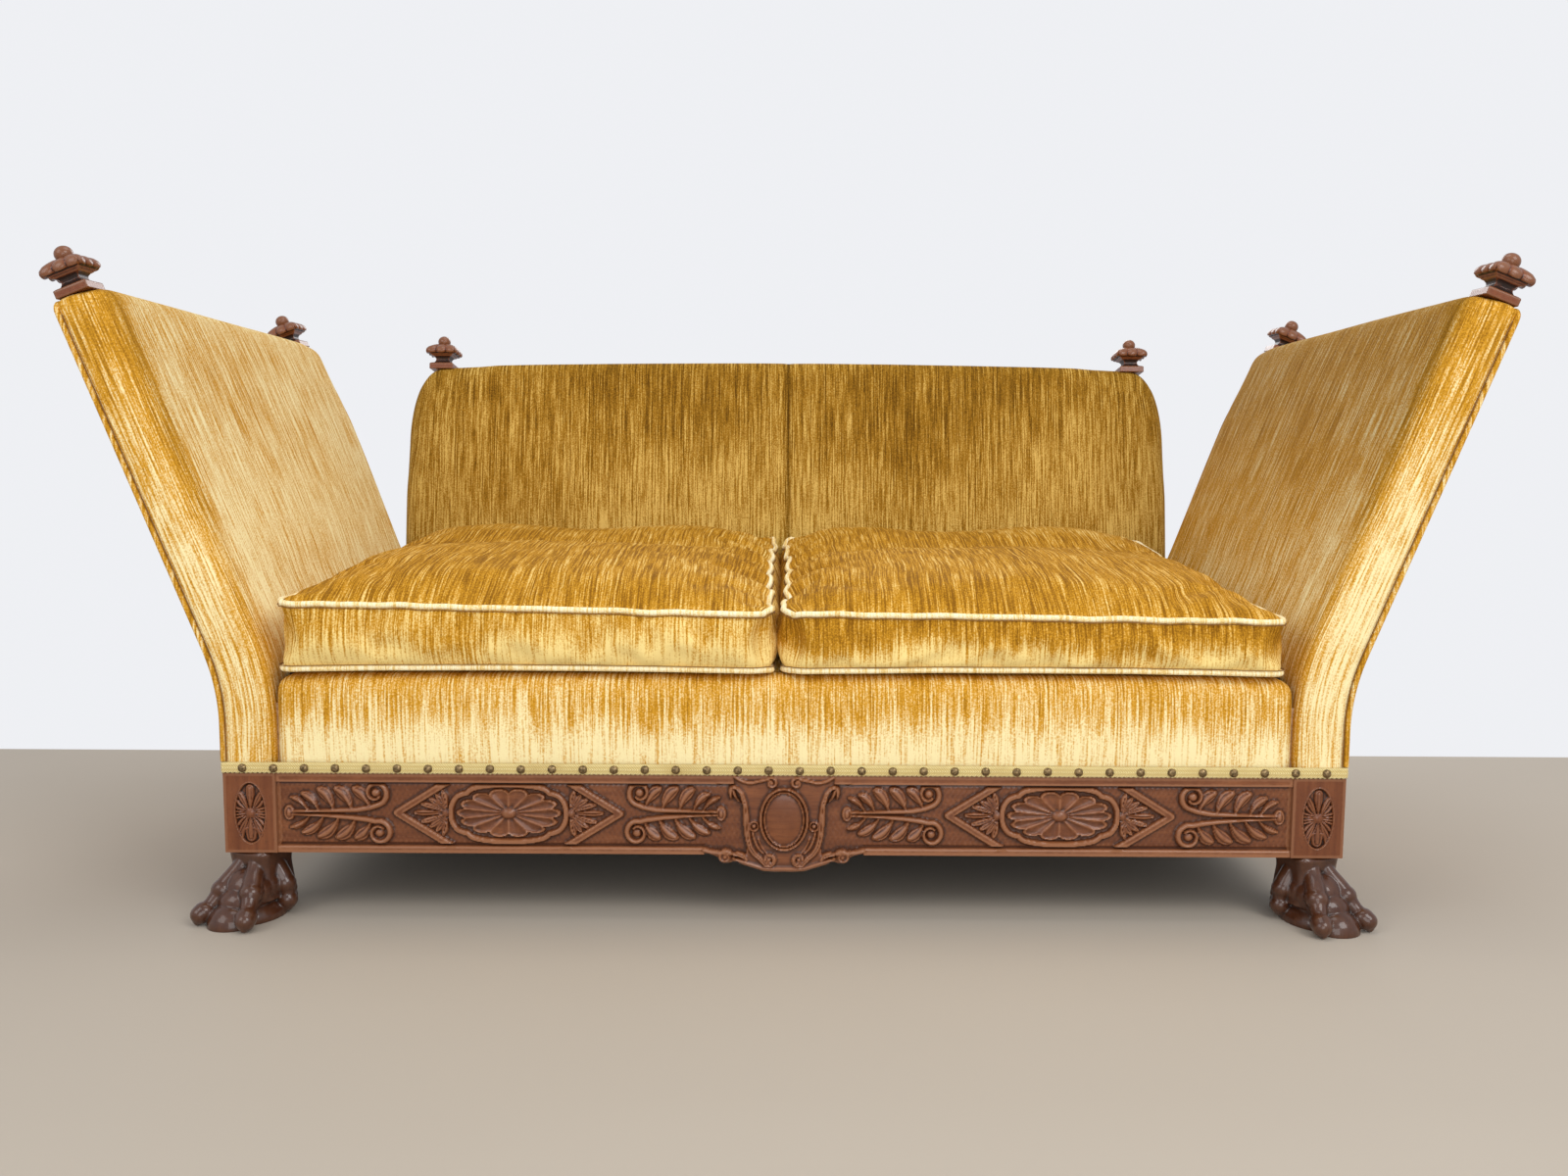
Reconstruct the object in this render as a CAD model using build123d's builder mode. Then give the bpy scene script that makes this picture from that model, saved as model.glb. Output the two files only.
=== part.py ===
from build123d import *
import math
import os

os.makedirs("parts", exist_ok=True)

# Knole sofa with let-down arms. X runs along the sofa, Y from front to back, Z up.
# The origin is on the floor, under the middle of the whole sofa.

# Plinth
base_width = 1464.0
base_depth = 832.0
foot_height = 90.0
rail_height = 106.0
rail_thickness = 32.0
rail_set_back = 2.0
block_side = 68.0
dowel_radius = 10.0
dowel_length = 56.0
peg_clearance = 0.1
overrun = 5.0

# Arms: one slab on each side, hinged on the stump beams
arm_thickness = 68.0
arm_behind_back_front = 13.8
arm_rise = 532.4
arm_lean = 21.5
hinge_below_deck = 9.5
bend_radius = 300.0
joint_gap = 0.25
facing_depth = 16.0
arm_rear_cover = 6.0
frame_inset_inside = 20.0
frame_inset_outside = 3.0
frame_inset_top = 6.0
arm_frame_member = 46.0
webbing_thickness = 2.0

# Back: one slab between the rear blocks, leaning back
back_lean = 8.0
back_side_step = 20.0
back_thickness = 85.0
back_front_from_rear = 85.8
back_rise_middle = 597.0
back_rise_corner = 581.0
shoulder_radius = 45.0
back_padding = 30.0
back_side_cover = 12.0
back_top_cover = 9.0
panel_thickness = 3.0
back_post_width = 45.0
back_top_rail_height = 50.0

# Seat
beam_thickness = 45.0
border_stuffing = 40.0
deck_height = 326.0
deck_thickness = 7.0
stuffing_thickness = 20.0
canvas_thickness = 2.0
border_roll = 18.0
seat_clearance = 0.5

# Cushions
cushion_outer_edge = 650.0
cushion_seam_x = -9.5
cushion_gap = 11.0
cushion_front = -5.0
cushion_behind_back_front = 3.8
cushion_boxing = 84.0
cushion_crown = 26.0
piping_radius = 4.0

# Finials
plinth_side = 44.0
plinth_height = 12.0
neck_side = 23.0
neck_height = 14.0
abacus_side = 46.0
abacus_height = 6.0
cap_side = 57.0
cap_height = 15.0
ball_radius = 12.5
peg_radius = 6.0
peg_length = 22.0
finial_front_inset = 27.0
finial_rear_inset = 33.0
finial_out = 10.5
back_finial_inset = 57.0
back_finial_sink = 1.5

# Feet
toe_reach = 81.0
toe_radius = 11.0
front_toe_angle = 23.5
side_toe_angle = 71.0
foot_turn = 10.5

# Places worked out from the sizes
rail_top = foot_height + rail_height
half_base = base_width / 2
back_half_width = half_base - back_side_step
hinge_height = deck_height - hinge_below_deck
beam_height = deck_height - rail_top - border_stuffing
back_front_at_rail = base_depth - back_front_from_rear
arm_depth = back_front_at_rail + arm_behind_back_front
cushion_rear = back_front_at_rail + cushion_behind_back_front
back_finial_x = back_half_width - back_finial_inset
rail_half_span = half_base - block_side
hinge_x = half_base - arm_thickness / 2
lean = math.radians(arm_lean)
tilt = math.radians(back_lean)
toe_overhang = toe_reach * math.cos(math.radians(front_toe_angle - foot_turn)) + toe_radius - block_side / 2
back_reach = (
    back_front_at_rail
    + (back_rise_middle - piping_radius / 2) * math.sin(tilt)
    + back_thickness * math.cos(tilt)
    + piping_radius
)
front_y = (toe_overhang - back_reach) / 2
rear_y = front_y + base_depth
beam_front = front_y + facing_depth
beam_rear = front_y + back_front_at_rail
seat_half = half_base - arm_thickness


def save(piece, name):
    """Name a finished piece and write it."""
    piece.part.label = name
    export_step(piece.part, f"parts/{name}.step")


def save_pair(piece, name):
    """Write the right-hand piece and its mirror image on the left."""
    save(piece, f"right_{name}")
    with BuildPart() as twin:
        add(mirror(piece.part, about=Plane.YZ))
    save(twin, f"left_{name}")


def facing(y, x=0.0, z=0.0):
    """A plane that looks to the front, at depth y behind the front of the base."""
    return Plane(origin=(x, front_y + y, z), x_dir=(1, 0, 0), z_dir=(0, -1, 0))


def box_between(low, high, mode=Mode.ADD):
    """A block between two corners."""
    middle = tuple((a + b) / 2 for a, b in zip(low, high))
    with Locations(middle):
        Box(*[b - a for a, b in zip(low, high)], mode=mode)


# Front rail: a carved board with a sunk ground between two fillets, and the cartouche in its middle
top_fillet = 13.0
bottom_fillet = 9.0
ground_depth = 6.0
relief = 5.0
cartouche_drop = 21.0
cartouche_half = 62.0
cartouche_lift = 5.0
scroll_radius = 10.0
scroll_x = 73.0
drop_half = 104.0
boss_half_width = 31.0
boss_half_height = 39.0
boss_lift = 5.0
rosette_x = 361.0
rosette_half_width = 80.0
rosette_half_height = 33.0
rosette_ring = 7.5
petal_count = 14
petal_notch_share = 0.2
lozenge_half_width = 150.0
lozenge_half_height = 39.0
lozenge_band = 5.0
spray_half_length = 66.0
spray_stem = 6.0
lobe_count = 6
lobe_swing = 18.0
lobe_gap = 2.0
volute_radius = 9.0
outer_spray_x = 584.0
inner_spray_x = 138.0
rail_middle_z = (foot_height + bottom_fillet + rail_top - top_fillet) / 2
ground_half_height = (rail_height - top_fillet - bottom_fillet) / 2


def spray():
    """A leaf spray along X: a stem with swung, round-ended lobes above and below."""
    pitch = 2 * spray_half_length / lobe_count
    width = pitch - lobe_gap
    edge = spray_stem / 2
    shoulder = ground_half_height - pitch / 2
    with BuildSketch() as leaf:
        with BuildLine():
            for step in range(lobe_count):
                root = step * pitch - spray_half_length
                swung = root + lobe_swing
                Line((root, edge), (swung, shoulder))
                ThreePointArc(
                    (swung, shoulder), (swung + width / 2, ground_half_height), (swung + width, shoulder)
                )
                Polyline((swung + width, shoulder), (root + width, edge), (root + pitch, edge))
            Polyline(
                (spray_half_length, edge),
                (spray_half_length, 0),
                (-spray_half_length, 0),
                (-spray_half_length, edge),
            )
        make_face()
        mirror(about=Plane.XZ)
    return leaf.sketch


def rosette():
    """An oval rosette: round-ended petals inside an oval ring."""
    rim_x = rosette_half_width - rosette_ring - lobe_gap
    rim_z = rosette_half_height - rosette_ring - lobe_gap

    def on_rim(turn, share):
        angle = 2 * math.pi * turn / petal_count
        return (share * rim_x * math.cos(angle), share * rim_z * math.sin(angle))

    with BuildSketch() as flower:
        Ellipse(rosette_half_width, rosette_half_height)
        Ellipse(rosette_half_width - rosette_ring, rosette_half_height - rosette_ring, mode=Mode.SUBTRACT)
        with BuildLine():
            for petal in range(petal_count):
                ThreePointArc(
                    on_rim(petal, 1 - petal_notch_share),
                    on_rim(petal + 1 / 2, 1),
                    on_rim(petal + 1, 1 - petal_notch_share),
                )
        make_face()
    return flower.sketch


def lozenge():
    """A flat lozenge-shaped frame."""
    long, tall = lozenge_half_width, lozenge_half_height
    band = lozenge_band
    with BuildSketch() as frame:
        Polygon((-long, 0), (0, -tall), (long, 0), (0, tall))
        Polygon(
            (2 * band - long, 0),
            (0, band - tall),
            (long - 2 * band, 0),
            (0, tall - band),
            mode=Mode.SUBTRACT,
        )
    return frame.sketch


with BuildPart() as front_rail:
    with BuildSketch(facing(rail_set_back + rail_thickness)) as board:
        low = foot_height - cartouche_drop
        flank = (cartouche_half, foot_height - scroll_radius)
        with BuildLine() as half:
            Polyline(
                (0, rail_top),
                (rail_half_span, rail_top),
                (rail_half_span, foot_height),
                (drop_half, foot_height),
            )
            ThreePointArc((drop_half, foot_height), (scroll_x, foot_height - scroll_radius / 2), flank)
            ThreePointArc(flank, (cartouche_half / 2, low + scroll_radius / 4), (0, low))
            mirror(about=Plane.YZ)
        make_face()
    extrude(amount=rail_thickness)
    with BuildSketch(facing(rail_set_back)) as ground:
        panel_length = rail_half_span - cartouche_half
        panel_middle = (rail_half_span + cartouche_half) / 2
        with Locations((-panel_middle, rail_middle_z), (panel_middle, rail_middle_z)):
            Rectangle(panel_length, 2 * ground_half_height)
    extrude(amount=-ground_depth, mode=Mode.SUBTRACT)
    with BuildSketch(facing(rail_set_back + ground_depth, z=rail_middle_z)) as carving:
        with Locations((-rosette_x, 0), (rosette_x, 0)):
            add(lozenge())
            add(rosette())
        with Locations((-outer_spray_x, 0), (inner_spray_x, 0)):
            add(spray())
        with Locations(Location((-inner_spray_x, 0), 180), Location((outer_spray_x, 0), 180)):
            add(spray())
    extrude(amount=relief)
    with BuildSketch(facing(rail_set_back)) as shield:
        with Locations((0, rail_middle_z)):
            RectangleRounded(2 * cartouche_half, 2 * ground_half_height, volute_radius)
    extrude(amount=cartouche_lift)
    with BuildSketch(facing(rail_set_back - cartouche_lift)) as bosses:
        with Locations((0, rail_middle_z - ground_depth)):
            Ellipse(boss_half_width, boss_half_height)
    extrude(amount=boss_lift)
    with BuildSketch(facing(rail_set_back + rail_thickness)) as scrolls:
        with Locations((-scroll_x, foot_height), (scroll_x, foot_height)):
            Circle(scroll_radius)
    extrude(amount=rail_thickness + cartouche_lift)
save(front_rail, "front_rail")

# Plain rails at the back and the sides
with BuildPart() as rear_rail:
    box_between(
        (-rail_half_span, rear_y - rail_set_back - rail_thickness, foot_height),
        (rail_half_span, rear_y - rail_set_back, rail_top),
    )
save(rear_rail, "rear_rail")

with BuildPart() as side_rail:
    box_between(
        (half_base - rail_set_back - rail_thickness, front_y + block_side, foot_height),
        (half_base - rail_set_back, rear_y - block_side, rail_top),
    )
save_pair(side_rail, "side_rail")

# Corner blocks, with a peg hole for each foot; the front pair carries an upright oval
block_oval_half_width = 21.0
block_oval_half_height = 42.0
block_oval_band = 4.0
block_oval_lift = 3.0
block_middle_x = half_base - block_side / 2
front_block_y = front_y + block_side / 2
rear_block_y = rear_y - block_side / 2


def block_pair(middle_y):
    """The right and left corner blocks of one end, each bored from below for its foot's peg."""
    with BuildPart() as blocks:
        with Locations((-block_middle_x, middle_y, foot_height), (block_middle_x, middle_y, foot_height)):
            Box(block_side, block_side, rail_height, align=(Align.CENTER, Align.CENTER, Align.MIN))
            Cylinder(
                dowel_radius + peg_clearance,
                dowel_length / 2 + peg_clearance,
                align=(Align.CENTER, Align.CENTER, Align.MIN),
                mode=Mode.SUBTRACT,
            )
    return blocks.part


with BuildPart() as front_blocks:
    add(block_pair(front_block_y))
    with BuildSketch(facing(0, z=foot_height + rail_height / 2)) as ovals:
        with Locations((-block_middle_x, 0), (block_middle_x, 0)):
            Ellipse(block_oval_half_width, block_oval_half_height)
            Ellipse(
                block_oval_half_width - block_oval_band,
                block_oval_half_height - block_oval_band,
                mode=Mode.SUBTRACT,
            )
            Ellipse(block_oval_half_width / 2, block_oval_half_height / 2)
    extrude(amount=block_oval_lift)
save(front_blocks, "front_blocks")

with BuildPart() as rear_blocks:
    add(block_pair(rear_block_y))
save(rear_blocks, "rear_blocks")

# Claw and ball foot, modelled once with its toes along +X and turned at each corner
ankle_side = 64.0
ankle_waist = 58.0
ankle_waist_height = 62.0
paw_height = 30.0
paw_length = 92.0
paw_width = 84.0
paw_forward = 14.0
sole_length = 86.0
sole_width = 74.0
ball_radius_at_floor = 28.0
ball_reach = 56.0
corner_round_share = 0.35
toes = {
    front_toe_angle: (
        (36.0, 45.0, 14.0),
        (52.0, 35.0, 12.5),
        (67.0, 23.0, 11.5),
        (toe_reach, 11.3, toe_radius),
    ),
    side_toe_angle: ((32.0, 43.0, 13.0), (43.0, 31.0, 12.0), (52.0, 20.0, 11.0), (58.0, 10.3, 10.0)),
}

with BuildPart() as foot:
    with BuildSketch(Plane.XY.offset(foot_height)):
        RectangleRounded(ankle_side, ankle_side, ankle_side * corner_round_share)
    with BuildSketch(Plane.XY.offset(ankle_waist_height)):
        RectangleRounded(ankle_waist, ankle_waist, ankle_waist * corner_round_share)
    with BuildSketch(Plane.XY.offset(paw_height)):
        with Locations((paw_forward, 0)):
            RectangleRounded(paw_length, paw_width, paw_width * corner_round_share)
    with BuildSketch(Plane.XY):
        with Locations((paw_forward, 0)):
            RectangleRounded(sole_length, sole_width, sole_width * corner_round_share)
    loft()
    for angle, knuckles in toes.items():
        for reach, height, radius in knuckles:
            for turn in (-angle, angle):
                with Locations(Plane.XY.rotated((0, 0, turn)) * Location((reach, 0, height), (90, 0, 0))):
                    Sphere(radius)
    with Locations((ball_reach, 0, 0)):
        Sphere(ball_radius_at_floor)
    split(bisect_by=Plane.XY, keep=Keep.TOP)
    with Locations((0, 0, foot_height)):
        Cylinder(
            dowel_radius + peg_clearance,
            dowel_length / 2 + peg_clearance,
            align=(Align.CENTER, Align.CENTER, Align.MAX),
            mode=Mode.SUBTRACT,
        )

foot_places = {
    "front_left_foot": (-block_middle_x, front_block_y, -90 - foot_turn),
    "front_right_foot": (block_middle_x, front_block_y, foot_turn - 90),
    "rear_left_foot": (-block_middle_x, rear_block_y, 90 + foot_turn),
    "rear_right_foot": (block_middle_x, rear_block_y, 90 - foot_turn),
}
for name, (x, y, turn) in foot_places.items():
    with BuildPart() as placed_foot:
        with Locations(Location((x, y, 0), turn)):
            add(foot.part)
    save(placed_foot, name)

with BuildPart() as foot_dowels:
    with Locations(*[(x, y, foot_height) for x, y, turn in foot_places.values()]):
        Cylinder(dowel_radius, dowel_length)
save(foot_dowels, "foot_dowels")

# Blocks glued in the plinth's inner corners
brace_run = 66.0
brace_inset = 12.0
front_inner_y = front_y + rail_set_back + rail_thickness
rear_inner_y = rear_y - rail_set_back - rail_thickness
side_inner_x = half_base - rail_set_back - rail_thickness

with BuildPart() as corner_braces:
    with BuildSketch(Plane.XY.offset(foot_height + brace_inset)):
        for inner_y, block_y, along in (
            (front_inner_y, front_y + block_side, 1),
            (rear_inner_y, rear_y - block_side, -1),
        ):
            corner = (
                (rail_half_span - brace_run, inner_y),
                (rail_half_span, inner_y),
                (rail_half_span, block_y),
                (side_inner_x, block_y),
                (side_inner_x, block_y + along * brace_run),
            )
            Polygon(*corner, align=None)
            Polygon(*[(-x, y) for x, y in corner], align=None)
    extrude(amount=rail_height - 2 * brace_inset)
save(corner_braces, "corner_braces")

# Stuffing frame: front and rear beams between the two stump beams that carry the arms
def slab_point(u, v):
    """A place in the leaning arm, u outward from its middle and v up from the hinge axis."""
    return (u * math.cos(lean) + v * math.sin(lean), v * math.cos(lean) - u * math.sin(lean))


knuckle_radius = 5.0
knuckle_clearance = 0.4
hinge_pin_radius = 2.5
hinge_running_clearance = 0.05
leaf_width = 28.0
leaf_thickness = 2.5
leaf_length = 75.0
leaf_clearance = 0.3
hinge_end_inset = 110.0
frame_inner_u = frame_inset_inside - arm_thickness / 2
frame_outer_u = arm_thickness / 2 - frame_inset_outside
frame_front = front_y + facing_depth
arm_frame_rear = front_y + arm_depth - arm_rear_cover
frame_length = arm_frame_rear - frame_front
beam_length = beam_rear - frame_front
hinge_stations = (
    frame_front + hinge_end_inset,
    frame_front + beam_length / 2,
    beam_rear - hinge_end_inset,
)
beam_inner_x = hinge_x + frame_inner_u
beam_outer_x = hinge_x + frame_outer_u

with BuildPart() as side_beam:
    box_between((beam_inner_x, frame_front, rail_top), (beam_outer_x, beam_rear, hinge_height - joint_gap))
    with Locations(Location((hinge_x, frame_front, hinge_height), (-90, 0, 0))):
        Cylinder(
            knuckle_radius + knuckle_clearance,
            beam_length,
            align=(Align.CENTER, Align.CENTER, Align.MIN),
            mode=Mode.SUBTRACT,
        )
    for station in hinge_stations:
        half_pocket = leaf_length / 2 + leaf_clearance
        box_between(
            (hinge_x, station - half_pocket, hinge_height - joint_gap - leaf_thickness),
            (hinge_x + leaf_width + leaf_clearance, station + half_pocket, hinge_height + overrun),
            mode=Mode.SUBTRACT,
        )
save_pair(side_beam, "seat_beam")

with BuildPart() as seat_front_beam:
    box_between(
        (-beam_inner_x, beam_front, rail_top),
        (beam_inner_x, beam_front + beam_thickness, rail_top + beam_height),
    )
save(seat_front_beam, "seat_front_beam")

with BuildPart() as seat_rear_beam:
    box_between(
        (-beam_inner_x, beam_rear - beam_thickness, rail_top),
        (beam_inner_x, beam_rear, rail_top + beam_height),
    )
save(seat_rear_beam, "seat_rear_beam")

# Webbing laid both ways under the springs and tacked beneath the beams
web_width = 50.0
web_sheet = 1.5
web_edge = 2.0
lengthwise_webs = 5
crosswise_webs = 9
web_half_x = side_inner_x - web_edge
web_front = front_inner_y + web_edge
web_rear = beam_rear - web_edge
web_middle_y = (web_front + web_rear) / 2
web_pitch_y = (web_rear - front_y - block_side - web_width) / lengthwise_webs
web_pitch_x = 2 * rail_half_span / (crosswise_webs + 1)

with BuildPart() as seat_webbing:
    with BuildSketch(Plane.XY.offset(rail_top - web_sheet)):
        with Locations((0, web_middle_y)):
            with GridLocations(web_pitch_x, 0, crosswise_webs, 1):
                Rectangle(web_width, web_rear - web_front)
    extrude(amount=web_sheet)
    with BuildSketch(Plane.XY.offset(rail_top - web_sheet)):
        with Locations((0, (front_y + block_side + web_rear) / 2)):
            with GridLocations(0, web_pitch_y, 1, lengthwise_webs):
                Rectangle(2 * web_half_x, web_width)
    extrude(amount=-web_sheet)
save(seat_webbing, "seat_webbing")

# Hourglass coil springs in three rows of six, each one unbroken wire of half turns
spring_wire = 2.0
spring_end_radius = 46.0
spring_waist_radius = 28.0
spring_half_turns = 10
spring_columns = 6
spring_rows = 3
canvas_bottom = deck_height - deck_thickness - stuffing_thickness - canvas_thickness
spring_bottom = rail_top + spring_wire + seat_clearance
spring_top = canvas_bottom - spring_wire - seat_clearance


def spring_radius(step):
    """The wire's distance from the spring's axis after this many half turns."""
    from_waist = abs(2 * step / spring_half_turns - 1)
    return spring_waist_radius + (spring_end_radius - spring_waist_radius) * from_waist


with BuildPart() as spring:
    with BuildLine() as wire:
        climb = (spring_top - spring_bottom) / spring_half_turns
        for step in range(spring_half_turns):
            side = 1 if step % 2 == 0 else -1
            start = side * spring_radius(step)
            end = -side * spring_radius(step + 1)
            low = spring_bottom + step * climb
            ThreePointArc(
                (start, 0, low),
                ((start + end) / 2, side * abs(start - end) / 2, low + climb / 2),
                (end, 0, low + climb),
            )
    with BuildSketch(Plane(origin=(spring_end_radius, 0, spring_bottom), z_dir=(0, 1, 0))):
        Circle(spring_wire)
    sweep()

with BuildPart() as seat_springs:
    pitch_x = 2 * rail_half_span / spring_columns
    pitch_y = (beam_rear - beam_front - 2 * beam_thickness) / spring_rows
    with Locations((0, (beam_front + beam_rear) / 2)):
        with GridLocations(pitch_x, pitch_y, spring_columns, spring_rows):
            add(spring.part)
save(seat_springs, "seat_springs")

# Hessian, hair stuffing and the covered deck over the springs, behind the stuffed front border
border_front = front_y + rail_set_back
border_rear = beam_front + beam_thickness
deck_half = seat_half - seat_clearance
back_shift_at_deck = (deck_height - deck_thickness - rail_top) * math.tan(tilt)
deck_rear = beam_rear + back_shift_at_deck - seat_clearance
canvas_rear = beam_rear - seat_clearance

with BuildPart() as spring_canvas:
    box_between(
        (-deck_half, border_rear, canvas_bottom),
        (deck_half, canvas_rear, canvas_bottom + canvas_thickness),
    )
save(spring_canvas, "spring_canvas")

with BuildPart() as seat_stuffing:
    stuffing_bottom = canvas_bottom + canvas_thickness
    box_between(
        (-deck_half, border_rear, stuffing_bottom),
        (deck_half, canvas_rear, stuffing_bottom + stuffing_thickness),
    )
save(seat_stuffing, "seat_stuffing")

with BuildPart() as seat_deck:
    box_between((-deck_half, border_rear, deck_height - deck_thickness), (deck_half, deck_rear, deck_height))
save(seat_deck, "seat_deck")

with BuildPart() as front_border:
    with BuildSketch(Plane(origin=(-deck_half, 0, 0), x_dir=(0, 1, 0), z_dir=(1, 0, 0))):
        with BuildLine():
            FilletPolyline(
                (border_front, rail_top),
                (border_front, deck_height),
                (border_rear, deck_height),
                radius=border_roll,
            )
            Polyline(
                (border_rear, deck_height),
                (border_rear, rail_top + beam_height),
                (beam_front, rail_top + beam_height),
                (beam_front, rail_top),
                (border_front, rail_top),
            )
        make_face()
    extrude(amount=2 * deck_half)
save(front_border, "front_border")

# The arm's whole outline at rest, from the plinth over the bend and up the leaning slab
half_arm = arm_thickness / 2
kink = half_arm * math.tan(lean / 2)
top_edge_round = 24.0
base_drop = hinge_height - rail_top
frame_top_v = arm_rise - frame_inset_top
panel_top_v = arm_rise - 2 * frame_inset_top


def hinge_plane(y):
    """A plane that looks to the front through the hinge axis, at depth y in the frame."""
    return Plane(origin=(hinge_x, y, hinge_height), x_dir=(1, 0, 0), z_dir=(0, -1, 0))


def arm_outline():
    """The closed outline of the lower arm, the bend and the slab."""
    with BuildSketch() as outline:
        with BuildLine():
            FilletPolyline(
                (half_arm, -base_drop),
                (half_arm, -kink),
                slab_point(half_arm, arm_rise),
                slab_point(-half_arm, arm_rise),
                (-half_arm, kink),
                (-half_arm, -base_drop),
                radius=(0, bend_radius, 0, top_edge_round, bend_radius, 0),
                close=True,
            )
        make_face()
    return outline.sketch


def above_joint(inner_u, outer_u, top_v):
    """The region of the slab between two offsets, above its roof-shaped underside."""
    lift = joint_gap / math.cos(lean)
    points = [
        slab_point(inner_u, top_v),
        slab_point(outer_u, top_v),
        slab_point(outer_u, lift + outer_u * math.tan(lean)),
    ]
    if inner_u < 0:
        points += [slab_point(0, lift), slab_point(inner_u, lift)]
    else:
        points += [slab_point(inner_u, lift + inner_u * math.tan(lean))]
    with BuildSketch() as region:
        Polygon(*points, align=None)
    return region.sketch


outside_reach = half_arm + bend_radius
wide = 4 * arm_rise
arm_rear = front_y + arm_depth
panel_margin = 4.0

# Lower arm: the covered pad on the stump beam, below the joint
with BuildPart() as lower_arm:
    with BuildSketch(hinge_plane(beam_rear)):
        add(arm_outline())
        with Locations((0, -joint_gap)):
            Rectangle(wide, wide, align=(Align.CENTER, Align.MIN), mode=Mode.SUBTRACT)
    extrude(amount=beam_rear - front_y)
    box_between(
        (beam_inner_x, frame_front, rail_top - overrun),
        (beam_outer_x, beam_rear + overrun, hinge_height + overrun),
        mode=Mode.SUBTRACT,
    )
    box_between(
        (seat_half - overrun, frame_front, rail_top - overrun),
        (beam_inner_x + overrun, beam_rear + overrun, canvas_bottom),
        mode=Mode.SUBTRACT,
    )
save_pair(lower_arm, "lower_arm")

# Arm pad: one cover over the inside, the front facing, the top and the rear edge
facing_round = 22.0
facing_clear_of_joint = 1.6


def is_facing_edge(edge):
    """Whether an edge of the front facing lies on the arm's inner side or its top."""
    middle = edge.center()
    out, up = middle.X - hinge_x, middle.Z - hinge_height
    u = out * math.cos(lean) - up * math.sin(lean)
    v = out * math.sin(lean) + up * math.cos(lean)
    return v > facing_clear_of_joint and u < half_arm / 2


def finial_seat(inset):
    """Where a finial stands on the arm's top edge, square to the slab."""
    out, up = slab_point(finial_out, arm_rise)
    return Location((hinge_x + out, front_y + inset, hinge_height + up), (0, arm_lean, 0))


def mirrored_seat(seat):
    """The seat's mirror image on the other side of the sofa."""
    x, y, z = seat.position
    return Location((-x, y, z), seat.orientation)


finial_seats = [finial_seat(finial_front_inset), finial_seat(arm_depth - finial_rear_inset)]

with BuildPart() as arm_pad:
    with BuildSketch(hinge_plane(arm_rear)):
        add(arm_outline())
        add(above_joint(-outside_reach, outside_reach, 2 * arm_rise), mode=Mode.INTERSECT)
    extrude(amount=arm_depth)
    fillet(edges().group_by(Axis.Y)[0].filter_by(is_facing_edge), radius=facing_round)
    with BuildSketch(hinge_plane(arm_frame_rear)):
        add(above_joint(frame_inner_u - webbing_thickness, frame_outer_u, frame_top_v))
    extrude(amount=frame_length, mode=Mode.SUBTRACT)
    with BuildSketch(hinge_plane(arm_rear - panel_margin)):
        add(above_joint(frame_outer_u - overrun, outside_reach, panel_top_v))
    extrude(amount=arm_depth - 2 * panel_margin, mode=Mode.SUBTRACT)
    with Locations(*finial_seats):
        Cylinder(
            peg_radius + peg_clearance,
            peg_length,
            align=(Align.CENTER, Align.CENTER, Align.MAX),
            mode=Mode.SUBTRACT,
        )
save_pair(arm_pad, "arm_pad")

with BuildPart() as arm_outside_panel:
    with BuildSketch(hinge_plane(arm_rear - panel_margin)):
        add(arm_outline())
        add(above_joint(frame_outer_u, outside_reach, panel_top_v), mode=Mode.INTERSECT)
    extrude(amount=arm_depth - 2 * panel_margin)
save_pair(arm_outside_panel, "arm_outside_panel")

# Arm frame: two posts between a bottom rail, shaped as half of a rule joint, and a top rail
with BuildPart() as arm_bottom_rail:
    with BuildSketch(hinge_plane(arm_frame_rear)):
        add(above_joint(frame_inner_u, frame_outer_u, arm_frame_member))
        Circle(knuckle_radius + knuckle_clearance, mode=Mode.SUBTRACT)
    extrude(amount=frame_length)
    for station in hinge_stations:
        half_pocket = leaf_length / 2 + leaf_clearance
        box_between(
            (hinge_x, station - half_pocket, hinge_height - overrun),
            (
                hinge_x + leaf_width + leaf_clearance,
                station + half_pocket,
                hinge_height + joint_gap + leaf_thickness,
            ),
            mode=Mode.SUBTRACT,
        )
save_pair(arm_bottom_rail, "arm_bottom_rail")


def slab_band(low_v, high_v):
    """A band of the arm's frame between two heights."""
    with BuildSketch() as band:
        Polygon(
            slab_point(frame_inner_u, low_v),
            slab_point(frame_outer_u, low_v),
            slab_point(frame_outer_u, high_v),
            slab_point(frame_inner_u, high_v),
            align=None,
        )
    return band.sketch


with BuildPart() as arm_top_rail:
    with BuildSketch(hinge_plane(arm_frame_rear)):
        add(slab_band(frame_top_v - arm_frame_member, frame_top_v))
    extrude(amount=frame_length)
    with Locations(*finial_seats):
        Cylinder(
            peg_radius + peg_clearance,
            peg_length + peg_clearance,
            align=(Align.CENTER, Align.CENTER, Align.MAX),
            mode=Mode.SUBTRACT,
        )
save_pair(arm_top_rail, "arm_top_rail")

with BuildPart() as arm_posts:
    for y in (frame_front + arm_frame_member, arm_frame_rear):
        with BuildSketch(hinge_plane(y)):
            add(slab_band(arm_frame_member, frame_top_v - arm_frame_member))
        extrude(amount=arm_frame_member)
save_pair(arm_posts, "arm_posts")

# Arm webbing: strips up and along the inner side of the frame
arm_web_width = 50.0
arm_webs_up = 4
arm_webs_along = 3


def slab_side_plane(u, v, y):
    """A plane on the arm's inner side, with X to the back and Y up the slab."""
    out, up = slab_point(u, v)
    return Plane(
        origin=(hinge_x + out, y, hinge_height + up),
        x_dir=(0, 1, 0),
        z_dir=(math.cos(lean), 0, -math.sin(lean)),
    )


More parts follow.
